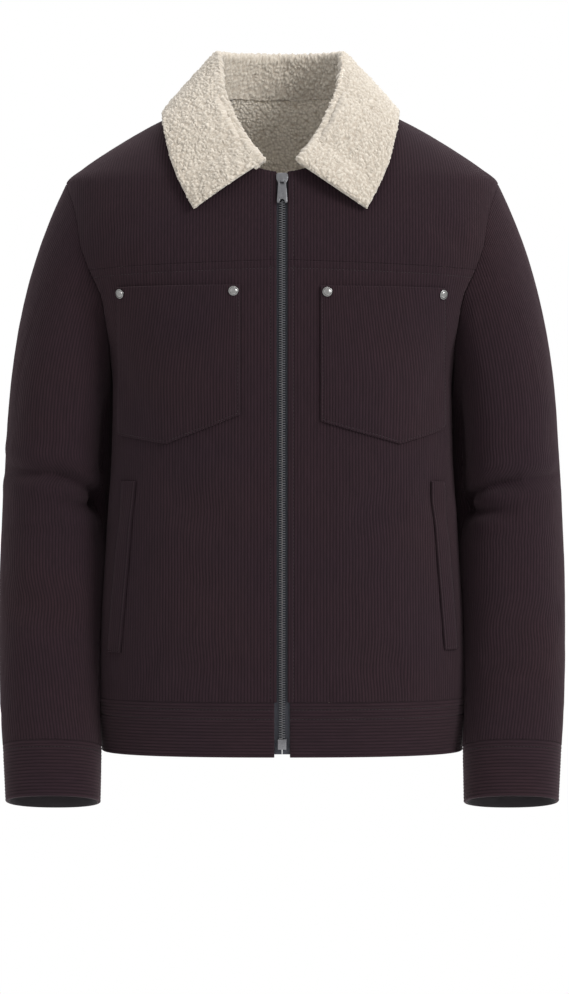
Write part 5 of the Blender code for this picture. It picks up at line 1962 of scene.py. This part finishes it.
# %% [markdown]
# ### Slider, box and pull tab
#
# A filled curve with a bevel makes a plate with rounded edges and holes. The slider is two such
# plates on a post, with a loop on its face. The pull tab hangs in the loop by its pin, and is the
# only piece that moves, so it rides on its own body.

# %% Hardware
def plate(outline, low, high, frame, holes=(), bevel=BEVEL):
    """A plate between two heights, its outline drawn in the frame's X and Y."""
    curve = bpy.data.curves.new("outline", "CURVE")
    curve.dimensions = "2D"
    curve.fill_mode = "BOTH"
    curve.extrude = (high - low) / 2 - bevel
    curve.bevel_depth = bevel
    curve.bevel_resolution = 2
    curve.offset = -bevel
    for ring_points in (outline, *holes):
        spline = curve.splines.new("POLY")
        spline.points.add(len(ring_points) - 1)
        spline.use_cyclic_u = True
        for spot, (x, y) in zip(spline.points, ring_points):
            spot.co = (x, y, 0.0, 1.0)
    guide = add_object("outline", curve)
    bpy.context.view_layer.update()
    data = bpy.data.meshes.new_from_object(guide.evaluated_get(bpy.context.evaluated_depsgraph_get()))
    data.transform(frame @ Matrix.Translation((0.0, 0.0, (low + high) / 2)))
    bpy.data.objects.remove(guide)
    bpy.data.curves.remove(curve)
    return data


def bar(x_half, y_low, y_high, low, high, frame, bevel=BEVEL):
    corners = ((-x_half, y_low), (x_half, y_low), (x_half, y_high), (-x_half, y_high))
    return plate(corners, low, high, frame, (), bevel)


def hardware(name, parts, body="jacket"):
    """Several plates as one piece."""
    mesh = bmesh.new()
    for part in parts:
        mesh.from_mesh(part)
    bmesh.ops.remove_doubles(mesh, verts=mesh.verts, dist=WELD)
    bmesh.ops.recalc_face_normals(mesh, faces=mesh.faces)
    mesh.verts.index_update()
    points = np.array([vertex.co[:] for vertex in mesh.verts])
    faces = [[vertex.index for vertex in face.verts] for face in mesh.faces]
    mesh.free()
    thing = make_object(name, Piece(points, faces, [], None), (GUNMETAL,), 35)
    loose(thing, body, name.replace("_metal", ""))


slider = front_frame(SLIDER_Z)
BELL = ((-0.0040, -0.0070), (0.0040, -0.0070), (0.0042, -0.0035), (0.0060, 0.0005), (0.0060, 0.0055),
        (0.0045, 0.0072), (-0.0045, 0.0072), (-0.0060, 0.0055), (-0.0060, 0.0005), (-0.0042, -0.0035))
leg_foot, leg_top = PIN_UP - PIN_ROOM - LEG, PIN_UP + PIN_ROOM + LEG
hardware("zip_slider_metal", (
    plate(BELL, PLATE_BACK, PLATE_FACE, slider, (), 0.0004),
    plate(BELL, REAR_PLATE_BACK, REAR_PLATE_FACE, slider),
    bar(POST_HALF, 0.0030, 0.0062, (REAR_PLATE_BACK + REAR_PLATE_FACE) / 2, 0.0012, slider),
    bar(BAIL_HALF, leg_foot, leg_foot + LEG, 0.0013, BAIL_HIGH - 0.0005, slider),
    bar(BAIL_HALF, leg_top - LEG, leg_top, 0.0013, BAIL_HIGH - 0.0005, slider),
    bar(BAIL_HALF + 0.0001, leg_foot - 0.0001, leg_top + 0.0001, BAIL_GAP_HIGH, BAIL_HIGH, slider),
))

box_frame = front_frame((CHAIN_FOOT_Z + BOX_FOOT_Z) / 2)
box_half = (CHAIN_FOOT_Z - BOX_FOOT_Z) / 2 - 0.0003
box = bar(BOX_HALF, -box_half, box_half, CHAIN_BACK, CHAIN_FACE + 0.0006, box_frame, 0.0005)
hardware("zip_box_metal", (box,))

hang = slider @ Matrix.Translation((0.0, PIN_UP, PIN_DEPTH))
hang = hang @ Matrix.Rotation(np.radians(PULL_REST_TILT), 4, "X")
half = PULL_THICK / 2
notch = [(0.0026 * np.cos(a), 0.0016 - PULL_LENGTH + 0.0026 * np.sin(a)) for a in np.pi * np.arange(1, 9) / 9]
tab = [(-0.0038, 0.0002), (-0.0030, half), (0.0030, half), (0.0038, 0.0002), (0.0053, 0.0012 - PULL_LENGTH),
       (0.0046, -PULL_LENGTH), (0.0030, -PULL_LENGTH), *notch, (-0.0030, -PULL_LENGTH),
       (-0.0046, -PULL_LENGTH), (-0.0053, 0.0012 - PULL_LENGTH)]
eye = ((-0.0019, -half), (-0.0019, -0.0053), (0.0019, -0.0053), (0.0019, -half))
hardware("zip_pull_metal", (plate(tab, -half, half, hang, (eye,), 0.0003),), "pull_tab")

# %% [markdown]
# ### Rivets
#
# Four turned domes hold the pockets' upper corners. Each is a profile spun about the cloth's normal:
# a dome, a groove, and a flat rim. The profile is in shares of the radius and the height.

# %% Rivets
RIVET_RADIUS = 0.0049
RIVET_HEIGHT = 0.0024
RIVET_SIDES = 40
RIVET_SEAT = PATCH_LIFT + PATCH + 0.0004
RIVET_DOWN = 0.0065
RIVET_IN = 0.0065
RIVET_OUT = 0.0042
RIVET_PROFILE = (
    (0.0, 1.0), (0.16, 0.995), (0.34, 0.965), (0.50, 0.905), (0.62, 0.825), (0.71, 0.72), (0.76, 0.60),
    (0.775, 0.47), (0.80, 0.40), (0.84, 0.385), (0.93, 0.37), (0.975, 0.33), (1.0, 0.25), (1.0, 0.0))


def rivet(name, turn, z):
    normal = Vector(body_normal(turn, z))
    seat = Matrix.Translation(Vector(body_point(turn, z)) + normal * RIVET_SEAT)
    frame = np.array(seat @ normal.to_track_quat("Z", "Y").to_matrix().to_4x4())
    angles = np.arange(RIVET_SIDES) * 2 * np.pi / RIVET_SIDES
    rings = np.array([[(r * RIVET_RADIUS * np.cos(a), r * RIVET_RADIUS * np.sin(a), h * RIVET_HEIGHT)
                       for a in angles] for r, h in RIVET_PROFILE])
    points = rings @ frame[:3, :3].T + frame[:3, 3]
    index = numbered(points.shape[:2])
    faces = grid_faces(index, True).tolist() + [index[-1].tolist()]
    thing = make_object(name, Piece(points.reshape(-1, 3), faces, [], None), (RIVET_STEEL,), 40)
    loose(thing, node=name.replace("_metal", ""))


for (side, word), p in zip(SIDES, CHEST_POCKETS):
    z = p.top - RIVET_DOWN
    for end, x in (("inner", p.inner + RIVET_IN), ("outer", p.outer - RIVET_OUT)):
        rivet("rivet_metal_%s_%s" % (word, end), side * float(turn_at_x(x, z)), z)

# %% Count the triangles and finish
print("added triangles", triangle_total)
